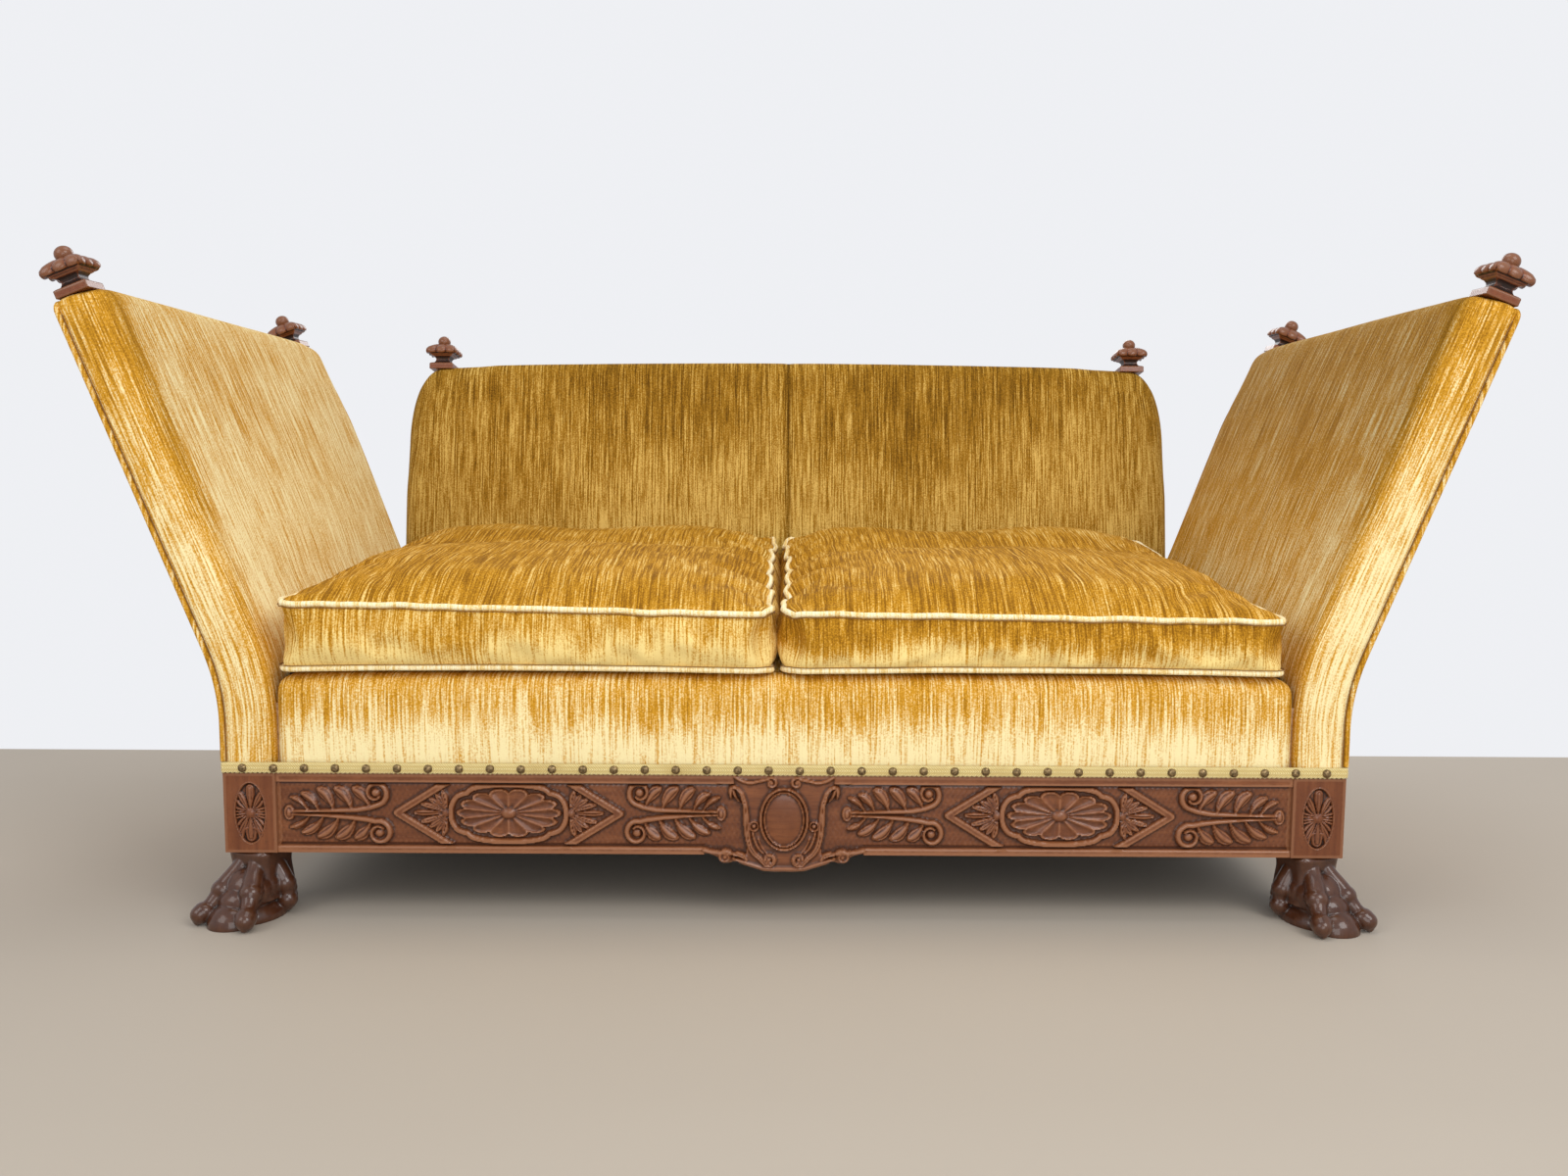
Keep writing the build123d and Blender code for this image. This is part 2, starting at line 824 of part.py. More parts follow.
with BuildPart() as arm_webbing:
    web_rise = frame_top_v - joint_gap - 2 * panel_margin
    web_middle_v = web_rise / 2 + panel_margin
    inner_face = slab_side_plane(
        frame_inner_u - webbing_thickness, web_middle_v, (frame_front + arm_frame_rear) / 2
    )
    with BuildSketch(inner_face):
        with GridLocations(frame_length / (arm_webs_up + 1), 0, arm_webs_up, 1):
            Rectangle(arm_web_width, web_rise)
        with GridLocations(0, web_rise / (arm_webs_along + 1), 1, arm_webs_along):
            Rectangle(frame_length, arm_web_width)
    extrude(amount=webbing_thickness)
save_pair(arm_webbing, "arm_webbing")

# Piping up the outer front edge of each arm, and its lower end on the stump
piping_front = front_y - piping_radius / 2
piping_break = 1.5
gimp_height = 15.0


def is_outer_edge(edge):
    """Whether an edge of the arm's outline runs up its outer side."""
    middle = edge.center()
    out, up = middle.X - hinge_x, middle.Z - hinge_height
    return out > half_arm - joint_gap and out - up * math.tan(lean) > half_arm / 2


def pipe_along(outline):
    """A round cord up the outer side of an outline."""
    path = Wire(outline.edges().filter_by(is_outer_edge))
    with BuildPart() as cord:
        with BuildSketch(Plane(origin=path @ 0, z_dir=path % 0)):
            Circle(piping_radius)
        sweep(path=path)
    return cord.part


with BuildPart() as arm_piping:
    with BuildSketch(hinge_plane(piping_front), mode=Mode.PRIVATE) as upper_outline:
        add(arm_outline())
        with Locations((0, piping_break)):
            Rectangle(wide, wide, align=(Align.CENTER, Align.MIN), mode=Mode.INTERSECT)
    add(pipe_along(upper_outline.sketch))
save_pair(arm_piping, "arm_piping")

with BuildPart() as lower_arm_piping:
    with BuildSketch(hinge_plane(piping_front), mode=Mode.PRIVATE) as lower_outline:
        add(arm_outline())
        with Locations((0, gimp_height - base_drop)):
            Rectangle(
                wide,
                base_drop - gimp_height - piping_break,
                align=(Align.CENTER, Align.MIN),
                mode=Mode.INTERSECT,
            )
    add(pipe_along(lower_outline.sketch))
    mirror(about=Plane.YZ)
save(lower_arm_piping, "lower_arm_piping")

# Finial, turned square: plinth, waisted neck, abacus, lobed cap and ball, on a peg
lobes_per_side = 3
cap_top_share = 0.4

with BuildPart() as finial:
    with BuildSketch():
        Rectangle(plinth_side, plinth_side)
    extrude(amount=plinth_height)
    with BuildSketch(Plane.XY.offset(plinth_height)):
        Rectangle(neck_side, neck_side)
    with BuildSketch(Plane.XY.offset(plinth_height + neck_height)):
        Rectangle(abacus_side, abacus_side)
    loft()
    cap_bottom = plinth_height + neck_height + abacus_height
    with BuildSketch(Plane.XY.offset(plinth_height + neck_height)):
        Rectangle(abacus_side, abacus_side)
    extrude(amount=abacus_height)
    lobe_radius = cap_side / (2 * lobes_per_side)
    with BuildSketch(Plane.XY.offset(cap_bottom)):
        Rectangle(cap_side - lobe_radius, cap_side - lobe_radius)
    with BuildSketch(Plane.XY.offset(cap_bottom + cap_height)):
        Rectangle(cap_side * cap_top_share, cap_side * cap_top_share)
    loft()
    with Locations((0, 0, cap_bottom + lobe_radius / 2)):
        with GridLocations(2 * lobe_radius, 2 * lobe_radius, lobes_per_side, lobes_per_side):
            Sphere(lobe_radius)
    with Locations((0, 0, cap_bottom + cap_height + ball_radius / 2)):
        Sphere(ball_radius)
    Cylinder(peg_radius, peg_length, align=(Align.CENTER, Align.CENTER, Align.MAX))

with BuildPart() as arm_finials:
    with Locations(*finial_seats):
        add(finial.part)
save_pair(arm_finials, "arm_finials")

# Butt hinges: plates on the stump beam, leaves on the arm, and their pins
with BuildPart() as hinge_plate:
    box_between(
        (hinge_x, -leaf_length / 2, hinge_height - joint_gap - leaf_thickness),
        (hinge_x + leaf_width, leaf_length / 2, hinge_height - joint_gap),
    )
    barrel = Location((hinge_x, 0, hinge_height), (-90, 0, 0))
    third = leaf_length / 3
    with Locations(barrel):
        Cylinder(knuckle_radius, leaf_length)
        Cylinder(knuckle_radius + knuckle_clearance, third + 2 * hinge_running_clearance, mode=Mode.SUBTRACT)
        Cylinder(hinge_pin_radius + hinge_running_clearance, leaf_length, mode=Mode.SUBTRACT)

with BuildPart() as hinge_leaf:
    box_between(
        (hinge_x, -leaf_length / 2, hinge_height + joint_gap),
        (hinge_x + leaf_width, leaf_length / 2, hinge_height + joint_gap + leaf_thickness),
    )
    with Locations(barrel * Location((0, 0, third)), barrel * Location((0, 0, -third))):
        Cylinder(knuckle_radius + knuckle_clearance, third, mode=Mode.SUBTRACT)
    with Locations(barrel):
        Cylinder(knuckle_radius, third)
        Cylinder(hinge_pin_radius + hinge_running_clearance, leaf_length, mode=Mode.SUBTRACT)

with BuildPart() as arm_hinge_leaves:
    with Locations(*[(0, station, 0) for station in hinge_stations]):
        add(hinge_leaf.part)
save_pair(arm_hinge_leaves, "arm_hinge_leaves")

with BuildPart() as hinge_plates:
    with Locations(*[(0, station, 0) for station in hinge_stations]):
        add(hinge_plate.part)
    mirror(about=Plane.YZ)
save(hinge_plates, "hinge_plates")

with BuildPart() as hinge_pins:
    for station in hinge_stations:
        with Locations(
            Location((-hinge_x, station, hinge_height), (90, 0, 0)),
            Location((hinge_x, station, hinge_height), (90, 0, 0)),
        ):
            Cylinder(hinge_pin_radius, leaf_length)
save(hinge_pins, "hinge_pins")

# Back: leaning planes, with v up the slab from the rail and depth measured from its front face
frame_half = back_half_width - back_side_cover
frame_top = back_rise_corner - back_top_cover
frame_depth = back_padding + webbing_thickness
frame_thickness = back_thickness - panel_thickness - frame_depth
pad_foot = 100.0
back_round = 24.0


def back_plane(depth):
    """A plane across the back that looks to the front, at a depth behind its front face."""
    return Plane(
        origin=(0, front_y + back_front_at_rail + depth * math.cos(tilt), rail_top - depth * math.sin(tilt)),
        x_dir=(1, 0, 0),
        z_dir=(0, -math.cos(tilt), math.sin(tilt)),
    )


def side_of_back(x):
    """A plane along the back's side, with X into its thickness and Y up the slab."""
    return Plane(
        origin=(x, front_y + back_front_at_rail, rail_top),
        x_dir=(0, math.cos(tilt), -math.sin(tilt)),
        z_dir=(1, 0, 0),
    )


def back_outline(inset, low):
    """The back's outline: straight sides, round shoulders and a slightly arched top."""
    half = back_half_width - inset
    corner = back_rise_corner - inset
    radius = shoulder_radius - inset
    with BuildSketch() as outline:
        with BuildLine():
            Polyline((-half, corner - radius), (-half, low), (half, low), (half, corner - radius))
            RadiusArc((half, corner - radius), (half - radius, corner), -radius)
            ThreePointArc(
                (half - radius, corner), (0, back_rise_middle - inset), (radius - half, corner)
            )
            RadiusArc((radius - half, corner), (-half, corner - radius), -radius)
        make_face()
    return outline.sketch


def frame_region(x_low, x_high, v_low, v_high):
    """A rectangle in the plane of the back."""
    with BuildSketch() as region:
        Polygon((x_low, v_low), (x_high, v_low), (x_high, v_high), (x_low, v_high), align=None)
    return region.sketch


back_finial_seat = (
    back_plane(back_thickness / 2)
    * Location((back_finial_x, back_rise_corner - back_finial_sink, 0))
    * Location((0, 0, 0), (-90, 0, 0))
)

with BuildPart() as back_pad:
    with BuildSketch(back_plane(back_thickness)):
        add(back_outline(0, pad_foot))
    extrude(amount=back_thickness)
    front_face = faces().sort_by(Axis.Y)[0]
    upper_edges = front_face.edges().filter_by(lambda e: e.center().Z > rail_top + pad_foot + overrun)
    fillet(upper_edges, radius=back_round)
    with BuildSketch(back_plane(back_thickness)):
        add(back_outline(back_side_cover, pad_foot - overrun))
    extrude(amount=back_thickness - back_padding, mode=Mode.SUBTRACT)
    pocket_side = plinth_side + 2 * peg_clearance
    with Locations(back_finial_seat, mirrored_seat(back_finial_seat)):
        Box(
            pocket_side,
            pocket_side,
            overrun,
            align=(Align.CENTER, Align.CENTER, Align.MIN),
            mode=Mode.SUBTRACT,
        )
        Cylinder(
            peg_radius + peg_clearance,
            peg_length,
            align=(Align.CENTER, Align.CENTER, Align.MAX),
            mode=Mode.SUBTRACT,
        )
save(back_pad, "back_pad")

with BuildPart() as back_outside_panel:
    with BuildSketch(back_plane(back_thickness)):
        add(back_outline(back_side_cover, back_thickness * math.tan(tilt)))
    extrude(amount=panel_thickness)
    for side in (-1, 1):
        with BuildSketch(side_of_back(side * (back_half_width - back_side_cover / 2))):
            Polygon(
                (0, 0),
                (back_thickness, back_thickness * math.tan(tilt)),
                (back_thickness, pad_foot),
                (0, pad_foot),
                align=None,
            )
        extrude(amount=back_side_cover / 2, both=True)
save(back_outside_panel, "back_outside_panel")

with BuildPart() as back_posts:
    for side in (-1, 1):
        with BuildSketch(side_of_back(side * (frame_half - back_post_width / 2))):
            Polygon(
                (frame_depth, frame_depth * math.tan(tilt)),
                (frame_depth + frame_thickness, (frame_depth + frame_thickness) * math.tan(tilt)),
                (frame_depth + frame_thickness, frame_top - back_top_rail_height),
                (frame_depth, frame_top - back_top_rail_height),
                align=None,
            )
        extrude(amount=back_post_width / 2, both=True)
save(back_posts, "back_posts")

with BuildPart() as back_top_rail:
    with BuildSketch(back_plane(frame_depth + frame_thickness)):
        add(back_outline(back_side_cover, 0))
        add(
            frame_region(-frame_half, frame_half, frame_top - back_top_rail_height, frame_top),
            mode=Mode.INTERSECT,
        )
    extrude(amount=frame_thickness)
    with Locations(back_finial_seat, mirrored_seat(back_finial_seat)):
        Cylinder(
            peg_radius + peg_clearance,
            peg_length + peg_clearance,
            align=(Align.CENTER, Align.CENTER, Align.MAX),
            mode=Mode.SUBTRACT,
        )
save(back_top_rail, "back_top_rail")

with BuildPart() as back_bottom_rail:
    post_inner = frame_half - back_post_width
    with BuildSketch(back_plane(frame_depth + frame_thickness)):
        add(frame_region(-post_inner, post_inner, pad_foot, pad_foot + back_top_rail_height))
    extrude(amount=frame_thickness)
save(back_bottom_rail, "back_bottom_rail")

back_webs_up = 9
back_webs_across = 4

with BuildPart() as back_webbing:
    web_low = pad_foot + panel_margin
    web_high = frame_top - panel_margin
    with BuildSketch(back_plane(frame_depth)):
        with Locations((0, (web_low + web_high) / 2)):
            with GridLocations(2 * post_inner / back_webs_up, 0, back_webs_up, 1):
                Rectangle(web_width, web_high - web_low)
            with GridLocations(0, (web_high - web_low) / (back_webs_across + 1), 1, back_webs_across):
                Rectangle(2 * (frame_half - panel_margin), web_width)
    extrude(amount=webbing_thickness)
save(back_webbing, "back_webbing")

with BuildPart() as back_piping:
    rear_outline = back_plane(back_thickness) * back_outline(piping_radius / 2, pad_foot)
    path = Wire(rear_outline.edges().filter_by(lambda e: e.center().Z > rail_top + pad_foot))
    with BuildSketch(Plane(origin=path @ 0, z_dir=path % 0)):
        Circle(piping_radius)
    sweep(path=path)
save(back_piping, "back_piping")

with BuildPart() as back_finials:
    with Locations(back_finial_seat, mirrored_seat(back_finial_seat)):
        add(finial.part)
save(back_finials, "back_finials")

# Braid round the foot of the covers, and its domed nails
gimp_thickness = 2.0
nail_head_radius = 5.75
nail_head_rise = 4.0
nail_pitch = 40.3
nail_end_margin = 20.0
nail_row = rail_top + gimp_height / 2
side_braid_rear = beam_rear - seat_clearance


def nail_places(run):
    """The places of the nails that fit a run of braid at their pitch."""
    count = int((run - 2 * nail_end_margin) / nail_pitch) + 1
    return GridLocations(nail_pitch, 0, count, 1)


with BuildPart() as gimp_braid:
    with BuildSketch(Plane.XY.offset(rail_top)):
        Polygon(
            (-half_base - gimp_thickness, side_braid_rear),
            (-half_base - gimp_thickness, front_y - gimp_thickness),
            (half_base + gimp_thickness, front_y - gimp_thickness),
            (half_base + gimp_thickness, side_braid_rear),
            (half_base, side_braid_rear),
            (half_base, front_y),
            (-half_base, front_y),
            (-half_base, side_braid_rear),
            align=None,
        )
    extrude(amount=gimp_height)
    with BuildSketch(back_plane(back_thickness + gimp_thickness)):
        low = (back_thickness + gimp_thickness) * math.tan(tilt)
        add(frame_region(-back_half_width, back_half_width, low, low + gimp_height))
    extrude(amount=gimp_thickness)
save(gimp_braid, "gimp_braid")

nail_curve = (nail_head_radius**2 + nail_head_rise**2) / (2 * nail_head_rise)

with BuildPart() as nail:
    with Locations((0, 0, nail_head_rise - nail_curve)):
        Sphere(nail_curve)
    split(bisect_by=Plane.XY, keep=Keep.TOP)

with BuildPart() as gimp_nails:
    front_row = facing(-gimp_thickness, z=nail_row)
    spots = [front_row * Location(place) for place in nail_places(base_width)]
    rear_low = (back_thickness + gimp_thickness) * math.tan(tilt) + gimp_height / 2
    rear_row = back_plane(back_thickness + gimp_thickness)
    flip = Location((0, 0, 0), (0, 180, 0))
    spots += [
        rear_row * Location((0, rear_low, 0)) * place * flip
        for place in nail_places(2 * back_half_width)
    ]
    for side in (-1, 1):
        row = Plane(
            origin=(side * (half_base + gimp_thickness), (front_y + side_braid_rear) / 2, nail_row),
            x_dir=(0, side, 0),
            z_dir=(side, 0, 0),
        )
        spots += [row * place for place in nail_places(side_braid_rear - front_y)]
    with Locations(*spots):
        add(nail.part)
save(gimp_nails, "gimp_nails")

# Dust cover, tacked under the rails clear of the blocks
dust_thickness = 2.0
dust_inset = 12.0

with BuildPart() as dust_cover:
    with BuildSketch(Plane.XY.offset(foot_height - dust_thickness)):
        with Locations((0, (front_y + rear_y) / 2)):
            Rectangle(2 * (half_base - dust_inset), base_depth - 2 * block_side - 2 * dust_inset)
            Rectangle(2 * (rail_half_span - dust_inset), base_depth - 2 * dust_inset)
    extrude(amount=dust_thickness)
    with BuildSketch(Plane.XY.offset(foot_height - dust_thickness)):
        with Locations((0, front_y)):
            Rectangle(2 * (drop_half + dust_inset), 2 * (rail_set_back + rail_thickness + panel_margin))
    extrude(amount=dust_thickness, mode=Mode.SUBTRACT)
save(dust_cover, "dust_cover")

# Loose cushions: boxed sides drawn in between the corners, a crowned top that rises to the back
side_draw_in = 10.0
corner_round = 15.0
cushion_seat_gap = 0.4
bottom_inset = 8.0
crown_insets = (0.0, 38.0, 120.0, 215.0)
crown_rise_shares = (0.0, 0.5, 0.86, 1.0)
cushion_pitch = 3.0
cushion_rolls = {"left": 1.2, "right": 0.7}
cushion_bottom = deck_height + cushion_seat_gap
bottom_seam = cushion_bottom + piping_radius
top_seam = bottom_seam + cushion_boxing
cushion_spans = {
    "left": (-cushion_outer_edge, cushion_seam_x - cushion_gap / 2),
    "right": (cushion_seam_x + cushion_gap / 2, cushion_outer_edge),
}


def cushion_outline(width, depth, inset):
    """A rectangle whose sides draw in between its rounded corners."""
    half_w, half_d = width / 2 - inset, depth / 2 - inset
    with BuildSketch() as outline:
        with BuildLine():
            ThreePointArc((-half_w, -half_d), (0, side_draw_in - half_d), (half_w, -half_d))
            ThreePointArc((half_w, -half_d), (half_w - side_draw_in, 0), (half_w, half_d))
            ThreePointArc((half_w, half_d), (0, half_d - side_draw_in), (-half_w, half_d))
            ThreePointArc((-half_w, half_d), (side_draw_in - half_w, 0), (-half_w, -half_d))
        make_face()
        fillet(vertices(), radius=corner_round)
    return outline.sketch


for hand, (left_edge, right_edge) in cushion_spans.items():
    width, depth = right_edge - left_edge, cushion_rear - cushion_front
    middle_x = (left_edge + right_edge) / 2
    middle_y = front_y + (cushion_front + cushion_rear) / 2
    lift = depth / 2 * math.tan(math.radians(cushion_pitch))
    flat = Plane(origin=(middle_x, middle_y, bottom_seam))
    seam_middle = Plane(origin=(middle_x, middle_y, top_seam + lift))
    sloped = seam_middle.rotated((cushion_pitch, cushion_rolls[hand], 0))
    with BuildPart() as cushion:
        with BuildSketch(Plane(origin=(middle_x, middle_y, cushion_bottom))):
            add(cushion_outline(width, depth, bottom_inset))
        with BuildSketch(flat):
            add(cushion_outline(width, depth, 0))
        loft()
        with BuildSketch(flat):
            add(cushion_outline(width, depth, 0))
        with BuildSketch(sloped):
            add(cushion_outline(width, depth, 0))
        loft()
        for inset, share in zip(crown_insets, crown_rise_shares):
            with BuildSketch(sloped.offset(share * cushion_crown)):
                add(cushion_outline(width, depth, inset))
        loft()
    save(cushion, f"{hand}_cushion")
    with BuildPart() as cushion_piping:
        for seam in (flat, sloped):
            path = (seam * cushion_outline(width, depth, 0)).face().outer_wire()
            with BuildSketch(Plane(origin=path @ 0, z_dir=path % 0)):
                Circle(piping_radius)
            sweep(path=path)
    save(cushion_piping, f"{hand}_cushion_piping")
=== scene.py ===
from math import copysign, cos, exp, hypot, pi, radians, sin, sqrt, tan

import bmesh
import bpy
import numpy as np
from mathutils import Matrix, Vector, noise


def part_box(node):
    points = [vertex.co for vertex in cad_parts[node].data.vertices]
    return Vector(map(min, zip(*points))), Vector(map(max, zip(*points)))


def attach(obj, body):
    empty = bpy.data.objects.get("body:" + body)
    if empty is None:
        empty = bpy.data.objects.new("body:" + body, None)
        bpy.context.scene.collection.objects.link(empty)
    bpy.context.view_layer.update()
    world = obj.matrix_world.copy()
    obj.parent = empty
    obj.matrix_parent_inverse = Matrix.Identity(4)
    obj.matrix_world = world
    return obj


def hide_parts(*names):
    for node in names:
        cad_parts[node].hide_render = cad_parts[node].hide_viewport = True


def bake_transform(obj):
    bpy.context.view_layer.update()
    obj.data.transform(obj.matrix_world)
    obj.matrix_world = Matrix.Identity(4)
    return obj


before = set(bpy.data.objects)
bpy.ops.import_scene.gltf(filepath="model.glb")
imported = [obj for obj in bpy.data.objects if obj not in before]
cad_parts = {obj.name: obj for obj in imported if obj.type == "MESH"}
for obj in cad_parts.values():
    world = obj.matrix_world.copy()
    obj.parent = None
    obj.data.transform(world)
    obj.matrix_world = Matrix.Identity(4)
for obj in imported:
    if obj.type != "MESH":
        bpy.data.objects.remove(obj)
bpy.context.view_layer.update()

# noise_vector takes its offsets from this seed; unseeded, they follow the clock.
noise.seed_set(1)

# Viewing point: a lens of 30 mm at 0.61 m above the floor and 1.69 m in front of the plinth,
# looking slightly down, over a plain pale floor that ends where the wall behind would stand.
block_depth = 0.068
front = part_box("right_side_rail")[0].y - block_depth
lens_mm = 30.38
look_down, look_aside, roll = 0.1011, 0.00114, 0.00514
wall_behind, floor_width, floor_depth = 0.988, 9, 5.5

view = bpy.data.cameras.new("view")
view.lens, view.sensor_width = lens_mm, 36
viewer = bpy.data.objects.new("view", view)
viewer.matrix_world = (
    Matrix.Translation((0.0004, front - 1.6902, 0.6137))
    @ Matrix.Rotation(look_aside, 4, "Z")
    @ Matrix.Rotation(pi / 2 - look_down, 4, "X")
    @ Matrix.Rotation(roll, 4, "Z")
)
bpy.context.scene.collection.objects.link(viewer)
bpy.context.scene.camera = viewer
bpy.context.scene.view_settings.view_transform = "Standard"


def add_node(tree, kind, **settings):
    """A node with its settings and socket values filled in."""
    node = tree.nodes.new(kind)
    for name, value in settings.items():
        if name in node.inputs:
            node.inputs[name].default_value = value
        else:
            setattr(node, name, value)
    return node


def feed(tree, value, socket):
    """Sets an input to a number or a colour, or links it to an output."""
    if isinstance(value, bpy.types.NodeSocket):
        tree.links.new(value, socket)
    else:
        socket.default_value = value


def blank_material(name, **values):
    """A material with a bare surface shader; returns the material, its tree and the shader."""
    material = bpy.data.materials.new(name)
    material.use_nodes = True
    tree = material.node_tree
    tree.nodes.clear()
    surface = add_node(tree, "ShaderNodeBsdfPrincipled", **values)
    output = add_node(tree, "ShaderNodeOutputMaterial")
    tree.links.new(surface.outputs["BSDF"], output.inputs["Surface"])
    return material, tree, surface


def object_place(tree):
    """The place on the piece itself."""
    return add_node(tree, "ShaderNodeTexCoord").outputs["Object"]


def clouded(tree, source, scale, detail, **settings):
    """Noise of this fineness at a place."""
    cloud = add_node(tree, "ShaderNodeTexNoise", Scale=scale, Detail=detail, **settings)
    tree.links.new(source, cloud.inputs["Vector"])
    return cloud.outputs["Fac"]


def blended(tree, first, second, share):
    """A colour between two others."""
    mix = add_node(tree, "ShaderNodeMix", data_type="RGBA")
    for value, number in ((share, 0), (first, 6), (second, 7)):
        feed(tree, value, mix.inputs[number])
    return mix.outputs[2]


def calculated(tree, operation, *terms):
    """The result of one calculation on sockets or numbers."""
    result = add_node(tree, "ShaderNodeMath", operation=operation)
    for value, socket in zip(terms, result.inputs):
        feed(tree, value, socket)
    return result.outputs[0]


def ramped(tree, source, low, high, low_value=0.0, high_value=1.0):
    """A socket's range spread over another range."""
    spread = add_node(tree, "ShaderNodeMapRange")
    for value, socket in zip((source, low, high, low_value, high_value), spread.inputs):
        feed(tree, value, socket)
    return spread.outputs["Result"]


def dressed(tree, surface, tone, rough=None, height=None, strength=0.0, distance=0.0):
    """Gives a surface its colour and, where there are any, its roughness and fine relief."""
    feed(tree, tone, surface.inputs["Base Color"])
    if rough is not None:
        feed(tree, rough, surface.inputs["Roughness"])
    if height is not None:
        bump = add_node(tree, "ShaderNodeBump", Strength=strength, Distance=distance)
        feed(tree, height, bump.inputs["Height"])
        feed(tree, bump.outputs["Normal"], surface.inputs["Normal"])


def select_only(*pieces):
    """Selects these pieces alone, with the first one active."""
    bpy.ops.object.select_all(action="DESELECT")
    for piece in pieces:
        piece.select_set(True)
    if pieces:
        bpy.context.view_layer.objects.active = pieces[0]


def added(name, operator, **settings):
    """A new piece from one of Blender's plain shapes."""
    select_only()
    operator(**settings)
    piece = bpy.context.object
    piece.name = piece.data.name = name
    return piece


floor_paint, tree, surface = blank_material("floor_paint", Roughness=0.7)
clouds = ramped(tree, clouded(tree, object_place(tree), 1.3, 6.0), 0.3, 0.7)
dressed(tree, surface, blended(tree, (0.436, 0.38, 0.31, 1), (0.545, 0.48, 0.40, 1), clouds))

floor = added("floor", bpy.ops.mesh.primitive_plane_add, size=1)
floor.scale = (floor_width, floor_depth, 1)
floor.location = (0, front + wall_behind - floor_depth / 2, 0)
floor.data.materials.append(floor_paint)

world = bpy.data.worlds.new("studio")
bpy.context.scene.world = world
world.use_nodes = True
tree = world.node_tree
tree.nodes.clear()
sky = add_node(tree, "ShaderNodeBackground", Color=(0.93, 0.95, 1.0, 1), Strength=0.62)
backdrop = add_node(tree, "ShaderNodeBackground", Color=(0.86, 0.87, 0.9, 1), Strength=1.0)
path = add_node(tree, "ShaderNodeLightPath")
shown = add_node(tree, "ShaderNodeMixShader")
output = add_node(tree, "ShaderNodeOutputWorld")
sources = path.outputs["Is Camera Ray"], sky.outputs[0], backdrop.outputs[0]
for source, socket in zip(sources, shown.inputs):
    tree.links.new(source, socket)
tree.links.new(shown.outputs[0], output.inputs["Surface"])

for name, (x, y, z), (aim_x, aim_y, aim_z), size, watts in (
    ("key_light", (1.9, -2.2, 2.6), (-0.1, 0.3, 0.3), 1.8, 52),
    ("fill_light", (-2.3, -1.9, 2.2), (0.1, 0.3, 0.35), 1.8, 24),
    ("front_light", (0.2, -2.9, 0.9), (0.0, 0.3, 0.3), 1.6, 20),
    ("top_light", (0.0, 0.2, 3.0), (0.0, 0.3, 0.4), 1.6, 16),
    ("rear_light", (0.4, 3.4, 2.2), (0.0, 0.7, 0.4), 1.8, 34),
):
    lamp = bpy.data.lights.new(name, "AREA")
    lamp.size, lamp.energy = size, watts
    light = bpy.data.objects.new(name, lamp)
    light.location = (x, front + y, z)
    look = Vector((aim_x - x, aim_y - y, aim_z - z))
    light.rotation_euler = look.to_track_quat("-Z", "Y").to_euler()
    bpy.context.scene.collection.objects.link(light)

# Arm covers: gold cut velvet over a stuffed frame, in one piece from the plinth round the bend to the top.
# The pile lies in fine uneven streaks that follow the arm; its paleness low on the front is painted sheen,
# and the darker inner faces are painted shade.
hinge_x, hinge_z = 0.698, 0.3165
rail_top = 0.196
half_arm = 0.034
arm_depth = 0.760
arm_lean = radians(21.5)
bend_radius = 0.300
ochre, gold, straw = (0.34, 0.15, 0.011, 1), (0.68, 0.33, 0.022, 1), (0.98, 0.84, 0.46, 1)
sides = ((1, "right"), (-1, "left"))


def new_group(name, places, tints, values):
    """A shader group from places, tints and values to a colour, a roughness and a height."""
    group = bpy.data.node_groups.new(name, "ShaderNodeTree")
    for way, kind, sockets in (
        ("INPUT", "Vector", places),
        ("INPUT", "Color", tints),
        ("INPUT", "Float", values),
        ("OUTPUT", "Color", "Color"),
        ("OUTPUT", "Float", "Roughness Height"),
    ):
        for socket in sockets.split():
            group.interface.new_socket(socket, in_out=way, socket_type=f"NodeSocket{kind}")
    given, result = group.nodes.new("NodeGroupInput"), group.nodes.new("NodeGroupOutput")
    return group, given.outputs, result.inputs


def streaks(tree, source, across, along, detail):
    """Noise drawn out along the pile: source is a place in metres, streaks run along its Y."""
    stretch = add_node(tree, "ShaderNodeVectorMath", operation="MULTIPLY")
    stretch.inputs[1].default_value = (across, along, along)
    tree.links.new(source, stretch.inputs[0])
    return clouded(tree, stretch.outputs[0], 1.0, detail, Roughness=0.55)


velvet, given, result = new_group("cut_velvet", "Cloth Object", "Deep Full Pale", "Nap Shade")
crush = clouded(velvet, given["Object"], 9.0, 5.0, Roughness=0.6)
pile = clouded(velvet, given["Object"], 430.0, 3.0, Roughness=0.7)
streak = ramped(velvet, pile, 0.34, 0.66, -0.25, 0.25)
for across, along, narrow, weight in (
    (400.0, 16.0, 0.12, 0.24),
    (250.0, 3.0, 0.12, 0.16),
    (60.0, 1.2, 0.16, 0.06),
):
    rows = streaks(velvet, given["Cloth"], across, along, 2.0)
    rows = ramped(velvet, rows, 0.5 - narrow, 0.5 + narrow, -weight, weight)
    streak = calculated(velvet, "ADD", streak, rows)
# The painted share of pale pile, partly worn pile and partly painted sheen, with random crushed patches;
# the painted shade darkens the colour toward black.
wear_and_sheen = calculated(velvet, "ADD", given["Nap"], ramped(velvet, crush, 0.3, 0.7, -0.10, 0.10))
share = calculated(velvet, "ADD", wear_and_sheen, streak)
tone = blended(velvet, given["Deep"], given["Full"], ramped(velvet, share, 0.0, 0.5))
tone = blended(velvet, tone, given["Pale"], ramped(velvet, share, 0.5, 1.0))
tone = blended(velvet, tone, (0.0, 0.0, 0.0, 1), given["Shade"])
for value, socket in zip((tone, ramped(velvet, wear_and_sheen, 0.0, 1.0, 0.86, 0.70), streak), result):
    velvet.links.new(value, socket)


